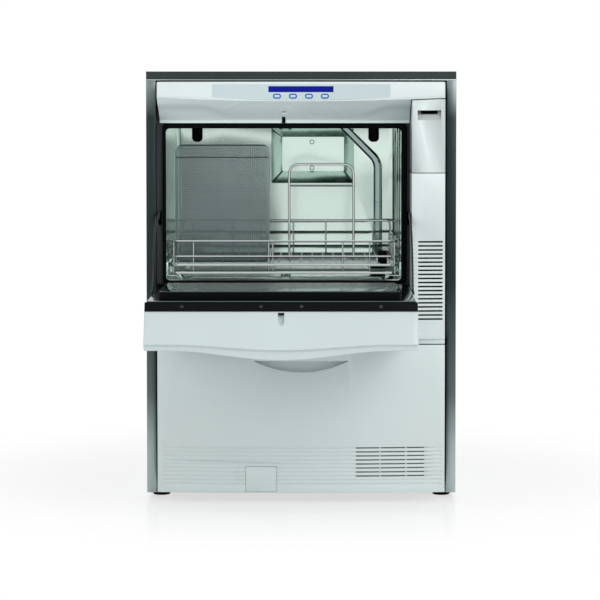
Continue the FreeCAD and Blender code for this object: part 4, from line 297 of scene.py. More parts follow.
class Shape:
    """A closed mesh being worked, in millimetres."""

    def __init__(self) -> None:
        """Start empty."""
        self.mesh = bmesh.new()

    def block(self, x: Pair, y: Pair, z: Pair, bevel: float = 0.0, segments: int = 2) -> "Shape":
        """Add a block.

        Args:
            x: Its limits along X.
            y: Its limits along Y.
            z: Its limits along Z.
            bevel: How far its edges are rounded.
            segments: How many faces round an edge.

        Returns:
            The shape itself.
        """
        middle = Vector((sum(x), sum(y), sum(z))) / 2
        size = (x[1] - x[0], y[1] - y[0], z[1] - z[0], 1.0)
        place = Matrix.Translation(middle) @ Matrix.Diagonal(size)
        made = bmesh.ops.create_cube(self.mesh, size=1.0, matrix=place)
        if bevel:
            self._round({edge for vert in made["verts"] for edge in vert.link_edges}, bevel, segments)
        return self

    def lathe(self, outline: Sequence[Pair], place: Triple, axis: Triple = (0, 0, 1), steps: int = 28) -> "Shape":
        """Add a turned piece.

        Args:
            outline: Radius and distance along the axis, from point to point.
            place: Where the axis starts.
            axis: The way it points.
            steps: How many faces go round.

        Returns:
            The shape itself.
        """
        before = set(self.mesh.verts)
        line = [self.mesh.verts.new((radius, 0.0, along)) for radius, along in outline]
        edges = [self.mesh.edges.new(pair) for pair in zip(line, line[1:])]
        bmesh.ops.spin(self.mesh, geom=line + edges, cent=(0, 0, 0), axis=(0, 0, 1), angle=math.tau,
                       steps=steps, use_merge=True)
        fresh = [vert for vert in self.mesh.verts if vert not in before]
        bmesh.ops.remove_doubles(self.mesh, verts=fresh, dist=0.0005)
        fresh = [vert for vert in self.mesh.verts if vert not in before]
        turn = Vector((0, 0, 1)).rotation_difference(Vector(axis)).to_matrix().to_4x4()
        bmesh.ops.transform(self.mesh, matrix=Matrix.Translation(place) @ turn, verts=fresh)
        return self

    def prism(self, outline: Sequence[Pair], y: Pair, bevel: float = 0.0, segments: int = 2) -> "Shape":
        """Add a flat piece cut to an outline in the XZ plane.

        Args:
            outline: Its corners' X and Z.
            y: Its limits along Y.
            bevel: How far its front and back edges are rounded.
            segments: How many faces round an edge.

        Returns:
            The shape itself.
        """
        line = [self.mesh.verts.new((x, y[0], z)) for x, z in outline]
        face = bmesh.ops.contextual_create(self.mesh, geom=line)["faces"][0]
        made = bmesh.ops.extrude_face_region(self.mesh, geom=[face])
        raised = [item for item in made["geom"] if isinstance(item, bmesh.types.BMVert)]
        bmesh.ops.translate(self.mesh, vec=(0.0, y[1] - y[0], 0.0), verts=raised)
        if bevel:
            rims = {edge for vert in line + raised for edge in vert.link_edges
                    if abs(edge.verts[0].co.y - edge.verts[1].co.y) < 0.001}
            self._round(rims, bevel, segments)
        return self

    def loft(self, stations: Sequence[float], section: Callable[[float], Sequence[Triple]],
             caps: bool = True) -> "Shape":
        """Add a skin through closed sections.

        Args:
            stations: Where the sections stand.
            section: Gives a section's points at a station.
            caps: Whether both ends are closed.

        Returns:
            The shape itself.
        """
        loop = [self.mesh.verts.new(point) for point in section(stations[0])]
        edges = [self.mesh.edges.new(pair) for pair in zip(loop, loop[1:] + loop[:1])]
        if caps:
            bmesh.ops.edgeloop_fill(self.mesh, edges=edges)
        for station in stations[1:]:
            made = bmesh.ops.extrude_edge_only(self.mesh, edges=edges)
            fresh = {item for item in made["geom"] if isinstance(item, bmesh.types.BMVert)}
            loop = [
                next(edge.other_vert(vert) for edge in vert.link_edges if edge.other_vert(vert) in fresh)
                for vert in loop
            ]
            for vert, point in zip(loop, section(station)):
                vert.co = point
            edges = [self.mesh.edges.get(pair) for pair in zip(loop, loop[1:] + loop[:1])]
        if caps:
            bmesh.ops.edgeloop_fill(self.mesh, edges=edges)
        return self

    def wire(self, points: Sequence[Triple], radius: float, bend: float = 0.0, closed: bool = False) -> "Shape":
        """Add a round wire bent through points.

        Args:
            points: Its corners.
            radius: Its radius.
            bend: The radius of its bends.
            closed: Whether it runs back to its start.

        Returns:
            The shape itself.
        """
        path = soften(points, bend, closed)
        curve = bpy.data.curves.new("wire", "CURVE")
        curve.dimensions = "3D"
        curve.bevel_depth = radius
        curve.bevel_resolution = 1
        curve.use_fill_caps = not closed
        spline = curve.splines.new("POLY")
        spline.points.add(len(path) - 1)
        spline.use_cyclic_u = closed
        for knot, point in zip(spline.points, path):
            knot.co = (*point, 1.0)
        holder = bpy.data.objects.new("wire", curve)
        mesh = bpy.data.meshes.new_from_object(holder)
        self.mesh.from_mesh(mesh)
        bpy.data.objects.remove(holder)
        bpy.data.curves.remove(curve)
        bpy.data.meshes.remove(mesh)
        return self

    def copy(self, name: str) -> "Shape":
        """Add a cleaned copy of a node of the frame.

        Args:
            name: The node's name.

        Returns:
            The shape itself.
        """
        node = frame["nodes"][name]
        before = set(self.mesh.verts)
        self.mesh.from_mesh(node.data)
        fresh = [vert for vert in self.mesh.verts if vert not in before]
        bmesh.ops.transform(self.mesh, matrix=Matrix.Scale(1 / MM, 4) @ node.matrix_world, verts=fresh)
        bmesh.ops.remove_doubles(self.mesh, verts=fresh, dist=0.002)
        bmesh.ops.dissolve_limit(self.mesh, angle_limit=math.radians(0.6), verts=list(self.mesh.verts),
                                 edges=list(self.mesh.edges))
        return self

    def move(self, matrix: Matrix) -> "Shape":
        """Move the whole shape.

        Args:
            matrix: The move.

        Returns:
            The shape itself.
        """
        bmesh.ops.transform(self.mesh, matrix=matrix, verts=list(self.mesh.verts))
        return self

    def soften_edges(self, bevel: float, segments: int = 2, angle: float = 40.0) -> "Shape":
        """Round the sharp edges.

        Args:
            bevel: How far.
            segments: How many faces round an edge.
            angle: How sharp an edge must be, in degrees.

        Returns:
            The shape itself.
        """
        bmesh.ops.recalc_face_normals(self.mesh, faces=list(self.mesh.faces))
        limit = math.radians(angle)
        self._round({edge for edge in self.mesh.edges if edge.is_manifold
                     and edge.calc_face_angle(0.0) > limit}, bevel, segments)
        return self

    def carve(self, tool: "Shape") -> "Shape":
        """Cut another shape out.

        Args:
            tool: The shape that goes.

        Returns:
            The shape itself.
        """
        for shape in (self, tool):
            bmesh.ops.recalc_face_normals(shape.mesh, faces=list(shape.mesh.faces))
        work, knife = self._hold("work"), tool._hold("knife")
        step = work.modifiers.new("cut", "BOOLEAN")
        step.operation = "DIFFERENCE"
        step.solver = "EXACT"
        step.object = knife
        seen = work.evaluated_get(bpy.context.evaluated_depsgraph_get())
        self.mesh.free()
        self.mesh = bmesh.new()
        self.mesh.from_mesh(seen.to_mesh())
        seen.to_mesh_clear()
        for holder in (work, knife):
            data = holder.data
            bpy.data.objects.remove(holder)
            bpy.data.meshes.remove(data)
        tool.mesh.free()
        bmesh.ops.remove_doubles(self.mesh, verts=list(self.mesh.verts), dist=0.001)
        return self

    def finish(self, name: str) -> bpy.types.Object:
        """Turn the shape into an object in metres.

        Args:
            name: The object's name.

        Returns:
            The object, smooth where its faces meet gently.
        """
        bmesh.ops.recalc_face_normals(self.mesh, faces=list(self.mesh.faces))
        bmesh.ops.scale(self.mesh, vec=(MM,) * 3, verts=list(self.mesh.verts))
        piece = self._hold(name)
        self.mesh.free()
        piece.data.shade_smooth()
        piece.data.set_sharp_from_angle(angle=math.radians(34))
        return piece

    def _hold(self, name: str) -> bpy.types.Object:
        """Put the mesh in a linked object.

        Args:
            name: The object's name.

        Returns:
            The object.
        """
        data = bpy.data.meshes.new(name)
        self.mesh.to_mesh(data)
        holder = bpy.data.objects.new(name, data)
        bpy.context.collection.objects.link(holder)
        return holder

    def _round(self, edges: Iterable[bmesh.types.BMEdge], bevel: float, segments: int) -> None:
        """Round edges.

        Args:
            edges: The edges.
            bevel: How far.
            segments: How many faces round an edge.
        """
        bmesh.ops.bevel(self.mesh, geom=list(edges), offset=bevel, segments=segments, profile=0.5,
                        affect="EDGES", material=-1, clamp_overlap=True)


def soften(points: Sequence[Triple], bend: float, closed: bool) -> list[Vector]:
    """Round the corners of a line.

    Args:
        points: Its corners.
        bend: The radius of its bends.
        closed: Whether it runs back to its start.

    Returns:
        The points along the rounded line.
    """
    line = [Vector(point) for point in points]
    path: list[Vector] = []
    for i, here in enumerate(line):
        if not bend or (not closed and i in (0, len(line) - 1)):
            path.append(here)
            continue
        last, ahead = line[i - 1] - here, line[(i + 1) % len(line)] - here
        reach = bend / math.tan(last.angle(ahead) / 2)
        start, end = here + last.normalized() * reach, here + ahead.normalized() * reach
        for step in range(6):
            t = step / 5
            path.append(start.lerp(here, t).lerp(here.lerp(end, t), t))
    return path


def rounded(x: Pair, z: Pair, radius: float, steps: int = 5) -> list[Pair]:
    """Trace a rectangle with round corners.

    Args:
        x: Its limits across.
        z: Its limits upwards.
        radius: The corners' radius.
        steps: How many parts a corner has.

    Returns:
        The points, anticlockwise from the lower right corner.
    """
    corners = ((x[1], z[0], -1, 1), (x[1], z[1], -1, -1), (x[0], z[1], 1, -1), (x[0], z[0], 1, 1))
    points = []
    for number, (cx, cz, dx, dz) in enumerate(corners):
        for step in range(steps + 1):
            angle = math.radians(-90 + 90 * number + 90 * step / steps)
            points.append((cx + dx * radius + radius * math.cos(angle), cz + dz * radius + radius * math.sin(angle)))
    return points


def ease(value: float) -> float:
    """Blend smoothly from 0 to 1."""
    value = min(max(value, 0.0), 1.0)
    return value * value * (3.0 - 2.0 * value)


def spread(start: float, end: float, count: int) -> list[float]:
    """Place points evenly from start to end."""
    return [start + (end - start) * i / (count - 1) for i in range(count)]


def front(x: float) -> float:
    """Return where the bowed front lies at a place across it."""
    return -374.0 + 2537.0 - math.sqrt(2537.0**2 - x * x)


@dataclass
class Assembly:
    """A group of pieces that share the finishes."""

    materials: dict[str, bpy.types.Material]

    def settle(self, shape: Shape, name: str, body: Body, finish: str, *nodes: str) -> None:
        """Finish a piece and put it in place.

        Args:
            shape: The piece's shape.
            name: The piece's name.
            body: The body it rides on.
            finish: The finish it wears.
            *nodes: The nodes it stands for.
        """
        piece = shape.finish(name)
        piece.data.materials.append(self.materials[finish])
        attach(piece, body.value)
        if nodes:
            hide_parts(*nodes)
        log.info("%s: %d faces on %s", name, len(piece.data.polygons), body.value)


@dataclass
class Casing(Assembly):
    """Lid, side panels, feet and the bar under the door."""

    half: float = 300.0
    lid_bottom: float = 811.0
    skirt: float = 275.5
    foot: float = 17.0

    def build(self) -> None:
        """Make the casing."""
        lid = Shape().copy("top_lid").soften_edges(0.7)
        self.settle(lid, "lid", Body.CABINET, "lid_steel", "top_lid")
        # A thin bright strip along the lid's lower front edge: a painted highlight.
        edge_highlight = Shape().block((-299.2, 299.2), (-300.5, -299.0), (811.0, 812.5), 0.4)
        self.settle(edge_highlight, "lid_trim", Body.CABINET, "lid_trim")
        for side in ("left", "right"):
            panel = Shape().copy(f"{side}_side_panel").soften_edges(0.7)
            self.settle(panel, f"{side}_side", Body.CABINET, "side_steel", f"{side}_side_panel")
        self.feet()
        self.bar()

    def feet(self) -> None:
        """Make the four levelling feet."""
        shape = Shape()
        r = self.foot
        for x in (-274.5, 274.5):
            for y in (-252.0, 274.5):
                shape.lathe(((0, 0), (r - 1.5, 0), (r, 1.5), (r, 5.0), (r - 2, 7), (0, 7)), (x, y, 0))
                shape.lathe(((0, 6.5), (5, 6.5), (5, 20), (0, 20)), (x, y, 0), steps=12)
        self.settle(shape, "levelling_feet", Body.CABINET, "black_plastic", "feet")

    def bar(self) -> None:
        """Make the bar between the door and the drawer, and its dark arms."""
        bar = Shape().block((-self.skirt, self.skirt), (-357.0, -343.6), (305.0, 315.0), 1.6, 3)
        self.settle(bar, "front_bar", Body.CABINET, "white_plastic", "crossbar")
        arms = Shape()
        for side in (-1, 1):
            x0, x1 = sorted((side * 278.0, side * 281.0))
            arms.block((x0, x1), (-353.0, -243.0), (305.0, 315.0), 0.5)
            x0, x1 = sorted((side * 270.0, side * 280.0))
            arms.block((x0, x1), (-352.0, -345.0), (307.0, 313.0), 0.5)
        self.settle(arms, "front_bar_arms", Body.CABINET, "black_plastic", "crossbar")


@dataclass
class Fascia(Assembly):
    """Control band over the door, its label, keys and cove."""

    half: float = 275.5
    top: float = 807.0
    bottom: float = 776.0
    dip: float = 7.0
    back: float = -354.0
    wall: float = 3.0
    label: Pair = (-169.0, 170.0)
    label_top: float = 802.0
    label_bottom: float = 778.0
    label_dip: float = 6.0
    display: float = 62.0
    keys: tuple[float, ...] = (-45.6, -15.2, 15.2, 45.6)
    key_level: float = 779.5
    cove_start: Pair = (-357.0, 778.0)
    cove_end: Pair = (-270.0, 734.0)
    cove_right: float = 210.5
    ridges: tuple[tuple[float, float, float, float], ...] = (
        (-110.0, 0.12, -141.0, 0.47), (59.0, 0.45, 87.0, 0.9))

    def build(self) -> None:
        """Make the fascia."""
        self.band()
        self.film()
        self.buttons()
        self.cove()
        self.lock()

    def openings(self, grow: float) -> Shape:
        """Shape the holes for the keys and the display.

        Args:
            grow: How much wider than the keys they are.

        Returns:
            The holes' shape.
        """
        tool = Shape()
        for x in self.keys:
            outline = rounded((x - 6 - grow, x + 6 + grow), (self.key_level - 3 - grow, self.key_level + 3 + grow), 2.9)
            tool.prism(outline, (-380.0, -360.5))
        tool.prism(((-self.display, 787.0), (self.display, 787.0), (self.display, 798.5), (-self.display, 798.5)),
                   (-380.0, -360.5))
        return tool

    def lower(self, x: float) -> float:
        """Return the band's lower edge at a place across it."""
        return self.bottom - self.dip * (1 - (x / self.half) ** 2)

    def band(self) -> None:
        """Make the band."""
        ends = (0.0, 0.4, 1.2, 2.6)
        drops = (2.6, 1.3, 0.45, 0.0)
        inner = spread(-self.half + 2.6, self.half - 2.6, 49)
        stations = [-self.half + end for end in ends[:3]] + inner + [self.half - end for end in ends[2::-1]]

        def section(x: float) -> list[Triple]:
            edge = self.half - abs(x)
            drop = next((d for e, d in zip(ends, drops) if edge <= e + 0.01), 0.0)
            y, z = front(x) + drop, self.lower(x)
            line = (
                (self.back, self.top - drop * 0.6), (y + 3.2, self.top - drop * 0.6), (y + 1.0, self.top - 0.9 - drop * 0.6),
                (y, self.top - 3.2), (y, z + 4.2), (y + 0.8, z + 3.7), (y + 0.8, z + 3.1), (y, z + 2.6),
                (y + 0.4, z + 0.8), (y + 1.6, z), (self.back - 2.6, z), (self.back - 2.6, z + 4.0), (self.back, z + 5.0),
            )
            return [(x, *point) for point in line]

        shape = Shape().loft(stations, section)
        w = self.wall
        shape.carve(Shape().loft(spread(-self.half + w, self.half - w, 25), lambda x: [
            (x, self.back + 9, self.top - w), (x, front(x) + w, self.top - w),
            (x, front(x) + w, self.lower(x) + w), (x, self.back + 9, self.lower(x) + w),
        ]))
        shape.carve(self.openings(0.35))
        self.settle(shape, "fascia_band", Body.CABINET, "white_plastic", "control_fascia")
        roof = Shape().block((-272.0, 272.0), (-355.0, -265.5), (804.2, 806.8), 0.4)
        self.settle(roof, "fascia_roof", Body.CABINET, "white_plastic", "control_fascia")

    def film(self) -> None:
        """Make the pale label let into the band."""
        left, right = self.label
        middle, half = (left + right) / 2, (right - left) / 2

        def section(x: float) -> list[Triple]:
            share = (x - middle) / half
            edge = 1.0 - abs(share)
            inset = 0.8 * (1 - ease(edge * half / 2.0))
            low = self.label_bottom - self.label_dip * (1 - share**2) + inset
            high = self.label_top - inset
            y = front(x)
            return [(x, y - 0.6, low), (x, y - 0.6, high), (x, y + 1.2, high), (x, y + 1.2, low)]

        stations = [left, left + 0.8, left + 2, left + 4] + spread(left + 8, right - 8, 41)
        shape = Shape().loft(stations + [right - 4, right - 2, right - 0.8, right], section)
        shape.carve(self.openings(0.35))
        self.settle(shape, "fascia_film", Body.CABINET, "label_film", "fascia_label")

    def buttons(self) -> None:
        """Make the four keys and the rings round them."""
        z = self.key_level
        rings = Shape()
        for number, x in enumerate(self.keys):
            y = front(x)
            cap = Shape().prism(rounded((x - 5.6, x + 5.6), (z - 2.6, z + 2.6), 2.5), (y - 2.2, -365.0), 0.7, 3)
            self.settle(cap, f"key_cap_{number + 1}", Body[f"KEY_{number + 1}"], "button_plastic",
                        f"button_{number + 1}")
            rings.wire([(px, y - 0.5, pz) for px, pz in rounded((x - 7.0, x + 7.0), (z - 4.0, z + 4.0), 3.9, 6)],
                       0.8, closed=True)
        self.settle(rings, "key_rings", Body.CABINET, "button_ring")

    def swell(self, x: float, v: float) -> float:
        """Return how far the cove's skin stands off its slope.

        Args:
            x: The place across it.
            v: The place down it, 0 at the front and 1 at the back.

        Returns:
            The height.
        """
        away = (abs(x + 10.0) - 70.0) / 118.0
        edge = 1.15 - 0.92 * ease(away) if away > 0 else 1.15
        height = 6.0 * (1.0 - ease((v - edge) / 0.5))
        for x0, v0, x1, v1 in self.ridges:
            share = (v - v0) / (v1 - v0)
            if -0.15 < share < 1.15:
                height += 0.8 * math.exp(-(((x - x0 - (x1 - x0) * share) / 4.0) ** 2))
        return (height - 4.4) * ease(v / 0.2)

    def cove(self) -> None:
        """Make the sculpted cove under the band."""
        (y0, z0), (y1, z1) = self.cove_start, self.cove_end
        steps = 25

        def section(x: float) -> list[Triple]:
            line = []
            for i in range(steps):
                v = i / (steps - 1)
                rise = self.swell(x, v) * min(1.0, (1.0 - v) * 2.0)
                line.append((y0 + (y1 - y0) * v - rise * 0.45, z0 + (z1 - z0) * v - rise * 0.89))
            line += [(-269.2, z1), (-269.2, z1 - 5.6), (-262.2, z1 - 5.6), (-262.2, z1 + 60.0), (y0 + 6.0, z1 + 60.0)]
            return [(x, *point) for point in line]

        shape = Shape().loft(spread(-self.half, self.cove_right, 163), section)
        shape.carve(Shape().block((-self.half + 3, self.cove_right - 3), (-347.0, -255.0), (781.0, 810.0)))
        shape.carve(Shape().block((-58.5, -8.0), (-312.0, -266.0), (759.5, 812.0)))
        shape.carve(Shape().block((-38.3, -28.2), (-305.8, -296.2), (725.0, 765.0)))
        shape.carve(Shape().block((-38.0, -30.4), (-272.0, -266.0), (725.0, 742.0)))
        # The cove wears the lighter white: painted light on a face turned away from the lamps.
        self.settle(shape, "fascia_cove", Body.CABINET, "cove_white", "control_fascia")
        catch = Shape().loft([-37.6, -30.8], lambda x: [
            (x, -269.7, 728.7), (x, -269.7, 733.2), (x, -284.0, 740.0), (x, -284.0, 745.0), (x, -266.4, 745.0),
            (x, -266.4, 728.7),
        ])
        self.settle(catch, "lock_guide", Body.CABINET, "black_plastic")

    def lock(self) -> None:
        """Make the lock's housing and its bolt."""
        for node, body in (("door_lock", Body.CABINET), ("lock_bolt", Body.BOLT)):
            self.settle(Shape().copy(node).soften_edges(0.5), f"{node}_dressed", body, "black_plastic", node)


@dataclass
class Column(Assembly):
    """Louvred covers beside the door, with the card reader."""

    def build(self) -> None:
        """Make the column."""
        for node, bevel in (("column_upper_cover", 0.8), ("column_lower_cover", 0.5)):
            shape = Shape().copy(node).soften_edges(bevel)
            self.settle(shape, f"{node}_dressed", Body.CABINET, "white_plastic", node)
        reader = Shape().copy("card_reader").soften_edges(0.4)
        self.settle(reader, "card_mouth", Body.CABINET, "black_plastic", "card_reader")


@dataclass
class Door(Assembly):
    """Fold-down door, lying open."""

    limits: Pair = (-277.0, 210.5)
    hinge: Pair = (-313.5, 367.5)
    end: float = -720.0
    top: float = 409.0
    heel: float = 60.0
    wall: float = 3.0
    face: Pair = (336.5, 327.2)
    belly: Pair = (325.0, 308.5)
    pan: Pair = (-252.0, 180.0)
    pan_reach: Pair = (-657.5, -419.5)

    def build(self) -> None:
        """Make the door."""
        self.shell()
        self.liner()
        self.strip()
        straps = Shape().copy("door_check_straps").soften_edges(0.5)
        self.settle(straps, "check_straps", Body.DOOR, "strap_steel", "door_check_straps")
        seal = Shape().copy("door_pan_seal").soften_edges(0.5)
        self.settle(seal, "pan_seal", Body.DOOR, "seal_rubber", "door_pan_seal")
        self.keeper()

    def sag(self, x: float, levels: Pair) -> float:
        """Return a level that is high at the door's sides and lower in the middle.

        Args:
            x: The place across the door.
            levels: The level at the sides and in the middle.

        Returns:
            The level.
        """
        middle, half = sum(self.limits) / 2, (self.limits[1] - self.limits[0]) / 2
        share = min(abs(x - middle) / half / 0.82, 1.0)
        return levels[1] + (levels[0] - levels[1]) * (1 - math.cos(math.pi * share)) / 2

    def outline(self, x: float, drop: float) -> list[Pair]:
        """Trace the door's section.

        Args:
            x: The place across the door.
            drop: How far the section is drawn in.

        Returns:
            The points' Y and Z.
        """
        face, low = self.sag(x, self.face), self.sag(x, self.belly) + drop
        y, z = self.hinge
        end = self.end + drop
        reach = -676.0 - (409.0 - face) * 0.512 + drop
        line = [
            (-677.0 + drop * 0.4, self.top - drop), (-678.2 + drop * 0.7, self.top - 1.2 - drop),
            (reach + 0.6, face + 2.4), (reach + 0.1, face + 1.2), (reach + 0.2, face + 0.2), (reach + 1.2, face - 0.5),
            (reach + 4.4, face - 2.2), (reach + 4.8, face - 3.0), (max(reach + 4.6, end), face - 8.4),
            (max(reach + 4.9, end + 0.6), low + 1.4), (max(reach + 6.2, end + 2.4), low + 0.2),
            (max(reach + 8.0, end + 6.0), low),
        ]
        radius = self.heel - drop
        start = math.acos(min(max((z - low) / radius, -1.0), 1.0))
        for i in range(13):
            angle = start + (math.radians(133.0) - start) * i / 12
            line.append((y + radius * math.sin(angle), z - radius * math.cos(angle)))
        line[-1] = (line[-1][0], self.top - drop)
        return line

    def shell(self) -> None:
        """Make the outer shell."""
        left, right = self.limits
        ends = ((0.0, 3.0), (0.5, 1.7), (1.4, 0.6), (3.0, 0.0))
        stations = [left + end for end, _ in ends] + spread(left + 12, right - 12, 47)
        stations += [right - end for end, _ in reversed(ends)]

        def section(x: float) -> list[Triple]:
            edge = min(x - left, right - x)
            drop = next((d for e, d in ends if edge <= e + 0.01), 0.0)
            return [(x, *point) for point in self.outline(x, drop)]

        def room(x: float) -> list[Triple]:
            points = [list(point) for point in self.outline(x, self.wall)]
            points[0] = [points[0][0] + 1.0, self.top + 20]
            points[-1] = [points[-1][0] - 0.5, self.top + 20]
            return [(x, *point) for point in points]

        shape = Shape().loft(stations, section)
        shape.carve(Shape().loft(spread(left + self.wall, right - self.wall, 41), room))
        pins = Shape()
        y, z = self.hinge
        for x in (left - 3, right - 6):
            pins.lathe(((0, 0), (6.6, 0), (6.6, 9), (0, 9)), (x, y, z), (1, 0, 0), 24)
        shape.carve(pins)
        shape.carve(Shape().prism(self.teardrop(0.0), (-12.0, 12.0)).move(self.tilt()))
        # The door wears the darker white: painted shade.
        self.settle(shape, "door_shell", Body.DOOR, "door_white", "door_outer_panel")

    def teardrop(self, grow: float) -> list[Pair]:
        """Trace the pocket that takes the lock's bolt.

        Args:
            grow: How much wider than the pocket the outline is.

        Returns:
            The outline in the plane of the door's end.
        """
        middle, half, top, low = -33.25, 5.7 + grow, 24.0, 4.8
        points = [(middle + half, top), (middle - half, top)]
        for angle in range(180, 361, 20):
            turn = math.radians(angle)
            points.append((middle + half * math.cos(turn), low + half * 1.15 * math.sin(turn)))
        return points

    def keeper(self) -> None:
        """Make the lining of the pocket."""
        cup = Shape().prism(self.teardrop(1.6), (1.2, 17.0))
        cup.carve(Shape().prism(self.teardrop(0.2), (-2.0, 15.6)))
        # The pocket's lining wears the lighter white: painted light in a hollow the lamps leave in shade.
        self.settle(cup.move(self.tilt()), "latch_cup", Body.DOOR, "cove_white", "latch_keeper")

    def tilt(self) -> Matrix:
        """Return how the pocket sits in the slanted end."""
        return Matrix.Translation((0.0, -697.6, 371.0)) @ Matrix.Rotation(-math.atan(0.512), 4, "X")

    def liner(self) -> None:
        """Make the steel liner with its raised middle, and the dark plates that stand in for the shade of its slots."""
        self.settle(Shape().copy("door_inner_pan").soften_edges(1.0, 3), "liner_pan", Body.DOOR, "liner_steel",
                    "door_inner_pan")
        # Thin dark plates on the liner stand in for its slots: painted shade where the openings would be.
        slot_shade_plates = Shape()
        for x in (-228.0, -176.0, 117.0, 160.0):
            slot_shade_plates.block((x - 5, x + 5), (-640.0, -628.0), (426.6, 427.2), 0.2)
        self.settle(slot_shade_plates, "liner_slot_shade", Body.DOOR, "pocket_steel")

    def strip(self) -> None:
        """Make the dark strip along the free end and its screws."""
        strip = Shape().copy("door_edge_strip").soften_edges(0.6, 3)
        self.settle(strip, "end_strip", Body.DOOR, "black_plastic", "door_edge_strip")
        screws = Shape().copy("door_edge_screws").soften_edges(0.5)
        self.settle(screws, "end_screws", Body.DOOR, "strap_steel", "door_edge_screws")


@dataclass
class Chamber(Assembly):
    """Wash chamber with its seal, rails, arms and riser."""

    sides: Pair = (-264.0, 195.0)
    levels: Pair = (392.0, 752.0)
    mouth: Pair = (423.0, 720.0)
    front: float = -262.0
    step: float = -247.5
    back: float = 205.0
    sheet: float = 2.0
    recess: tuple[float, float, float, float] = (-67.0, 110.0, 600.0, 717.0)
    recess_floor: tuple[float, float, float, float] = (-44.0, 89.0, 625.0, 699.0)
    recess_depth: float = 24.0

    def build(self) -> None:
        """Make the chamber."""
        self.tub()
        self.fittings()
        self.arms()
        seal = Shape().copy("mouth_gasket").soften_edges(1.4, 3)
        self.settle(seal, "mouth_seal", Body.CABINET, "seal_rubber", "mouth_gasket")
        wall = Shape().copy("front_bulkhead").soften_edges(0.4)
        self.settle(wall, "bulkhead_wall", Body.CABINET, "bulkhead_black", "front_bulkhead")

    def tub(self) -> None:
        """Make the tub with its neck and flange."""
        left, right = self.sides
        low, high = self.levels
        small, tall = self.mouth
        rings = [
            (self.front, left - 5, right + 5, small - 5, tall + 5, 13.0),
            (self.front + 0.01, left + 0.01, right - 0.01, small, tall, 8.0),
            (self.step, left, right, small, tall, 8.0),
            (self.step + 0.01, left, right, low, high, 18.0),
        ]
        for y in (-180.0, -60.0, 60.0, 160.0):
            for shift, swell in ((-9.0, 0.0), (-4.0, 1.6), (4.0, 1.6), (9.0, 0.0)):
                rings.append((y + shift, left - swell * 0.1, right - swell * 1.4, low, high - swell * 0.1, 18.0))
        rings += [
            (self.back - 12, left, right, low, high, 18.0),
            (self.back - 3, left + 2.5, right - 2.5, low + 2.5, high - 2.5, 18.0),
            (self.back, left + 12, right - 12, low + 12, high - 12, 18.0),
            (self.back + 0.02, *self.recess, 3.0),
            (self.back + self.recess_depth, *self.recess_floor, 3.0),
        ]

        def section(index: float) -> list[Triple]:
            y, x0, x1, z0, z1, radius = rings[int(index)]
            return [(x, y, z) for x, z in rounded((x0, x1), (z0, z1), radius)]

        shape = Shape().loft(range(len(rings)), section, caps=False)
        rim = [edge for edge in shape.mesh.edges if edge.is_boundary
               and min(vert.co.y for vert in edge.verts) > self.back + 1]
        bmesh.ops.edgeloop_fill(shape.mesh, edges=rim)
        bmesh.ops.recalc_face_normals(shape.mesh, faces=list(shape.mesh.faces))
        inward = any(face.normal.y < 0 for face in shape.mesh.faces if len(face.verts) > 20)
        bmesh.ops.solidify(shape.mesh, geom=list(shape.mesh.faces), thickness=self.sheet if inward else -self.sheet)
        tools = Shape().lathe(((0, 0), (62, 0), (62, 60), (0, 60)), (-34.0, -18.0, 360.0), steps=48)
        tools.lathe(((0, 0), (8.4, 0), (8.4, 60), (0, 60)), (160.0, 195.0, 360.0))
        shape.carve(tools)
        self.settle(shape, "wash_tub", Body.CABINET, "chamber_steel", "chamber_tub")
        screws = Shape()
        for z in (688.0, 632.0):
            screws.lathe(((0, -3), (3.6, -3), (5.0, -2), (5.4, 0.5), (0, 0.5)),
                         (20.0, self.back + self.recess_depth, z), (0, 1, 0), 20)
        self.settle(screws, "recess_screws", Body.CABINET, "chamber_steel")

    def fittings(self) -> None:
        """Make the rails, the sump's pieces, the heater and the riser."""
        for node, finish in (("rack_rails", "chamber_steel"), ("sump_pot", "chamber_steel"),
                             ("sump_filter", "chamber_steel"), ("heater_coil", "zinc_steel")):
            shape = Shape().copy(node)
            if node == "rack_rails":
                shape.soften_edges(0.5)
            self.settle(shape, f"{node}_dressed", Body.CABINET, finish, node)
        pipe = Shape().wire([(20.0, 143.0, 181.0), (20.0, 143.0, 282.0), (160.0, 195.0, 282.0), (160.0, 195.0, 560.0)],
                            8.0, 16.0)
        pipe.wire([(160.0, 195.0, 559.0), (160.0, 195.0, 648.0), (67.0, 195.0, 742.0), (-34.0, -18.0, 742.0)], 8.0, 40.0)
        pipe.lathe(((0, -7), (13, -7), (13, -4), (10, -4), (10, 29), (0, 29)), (-34.0, -18.0, 722.0))
        # The pipe wears the darker steel copy: painted shade.
        self.settle(pipe, "riser_pipe", Body.CABINET, "riser_steel", "feed_pipe")
        cap = Shape().lathe(((0, 0), (13, 0), (14, 3), (14, 28), (20, 34), (21, 38), (21, 50), (18, 54), (0, 54)),
                            (160.0, 181.0, 392.3), (0, 0, 1), 32)
        self.settle(cap, "riser_socket", Body.CABINET, "black_plastic")

    def arms(self) -> None:
        """Make both spray arms."""
        self.settle(Shape().copy("lower_spray_arm").soften_edges(1.2, 3), "lower_arm_blade", Body.LOWER_ARM,
                    "chamber_steel", "lower_spray_arm")
        self.settle(Shape().copy("upper_spray_arm").soften_edges(1.0, 3), "upper_arm_blade", Body.UPPER_ARM,
                    "black_plastic", "upper_spray_arm")


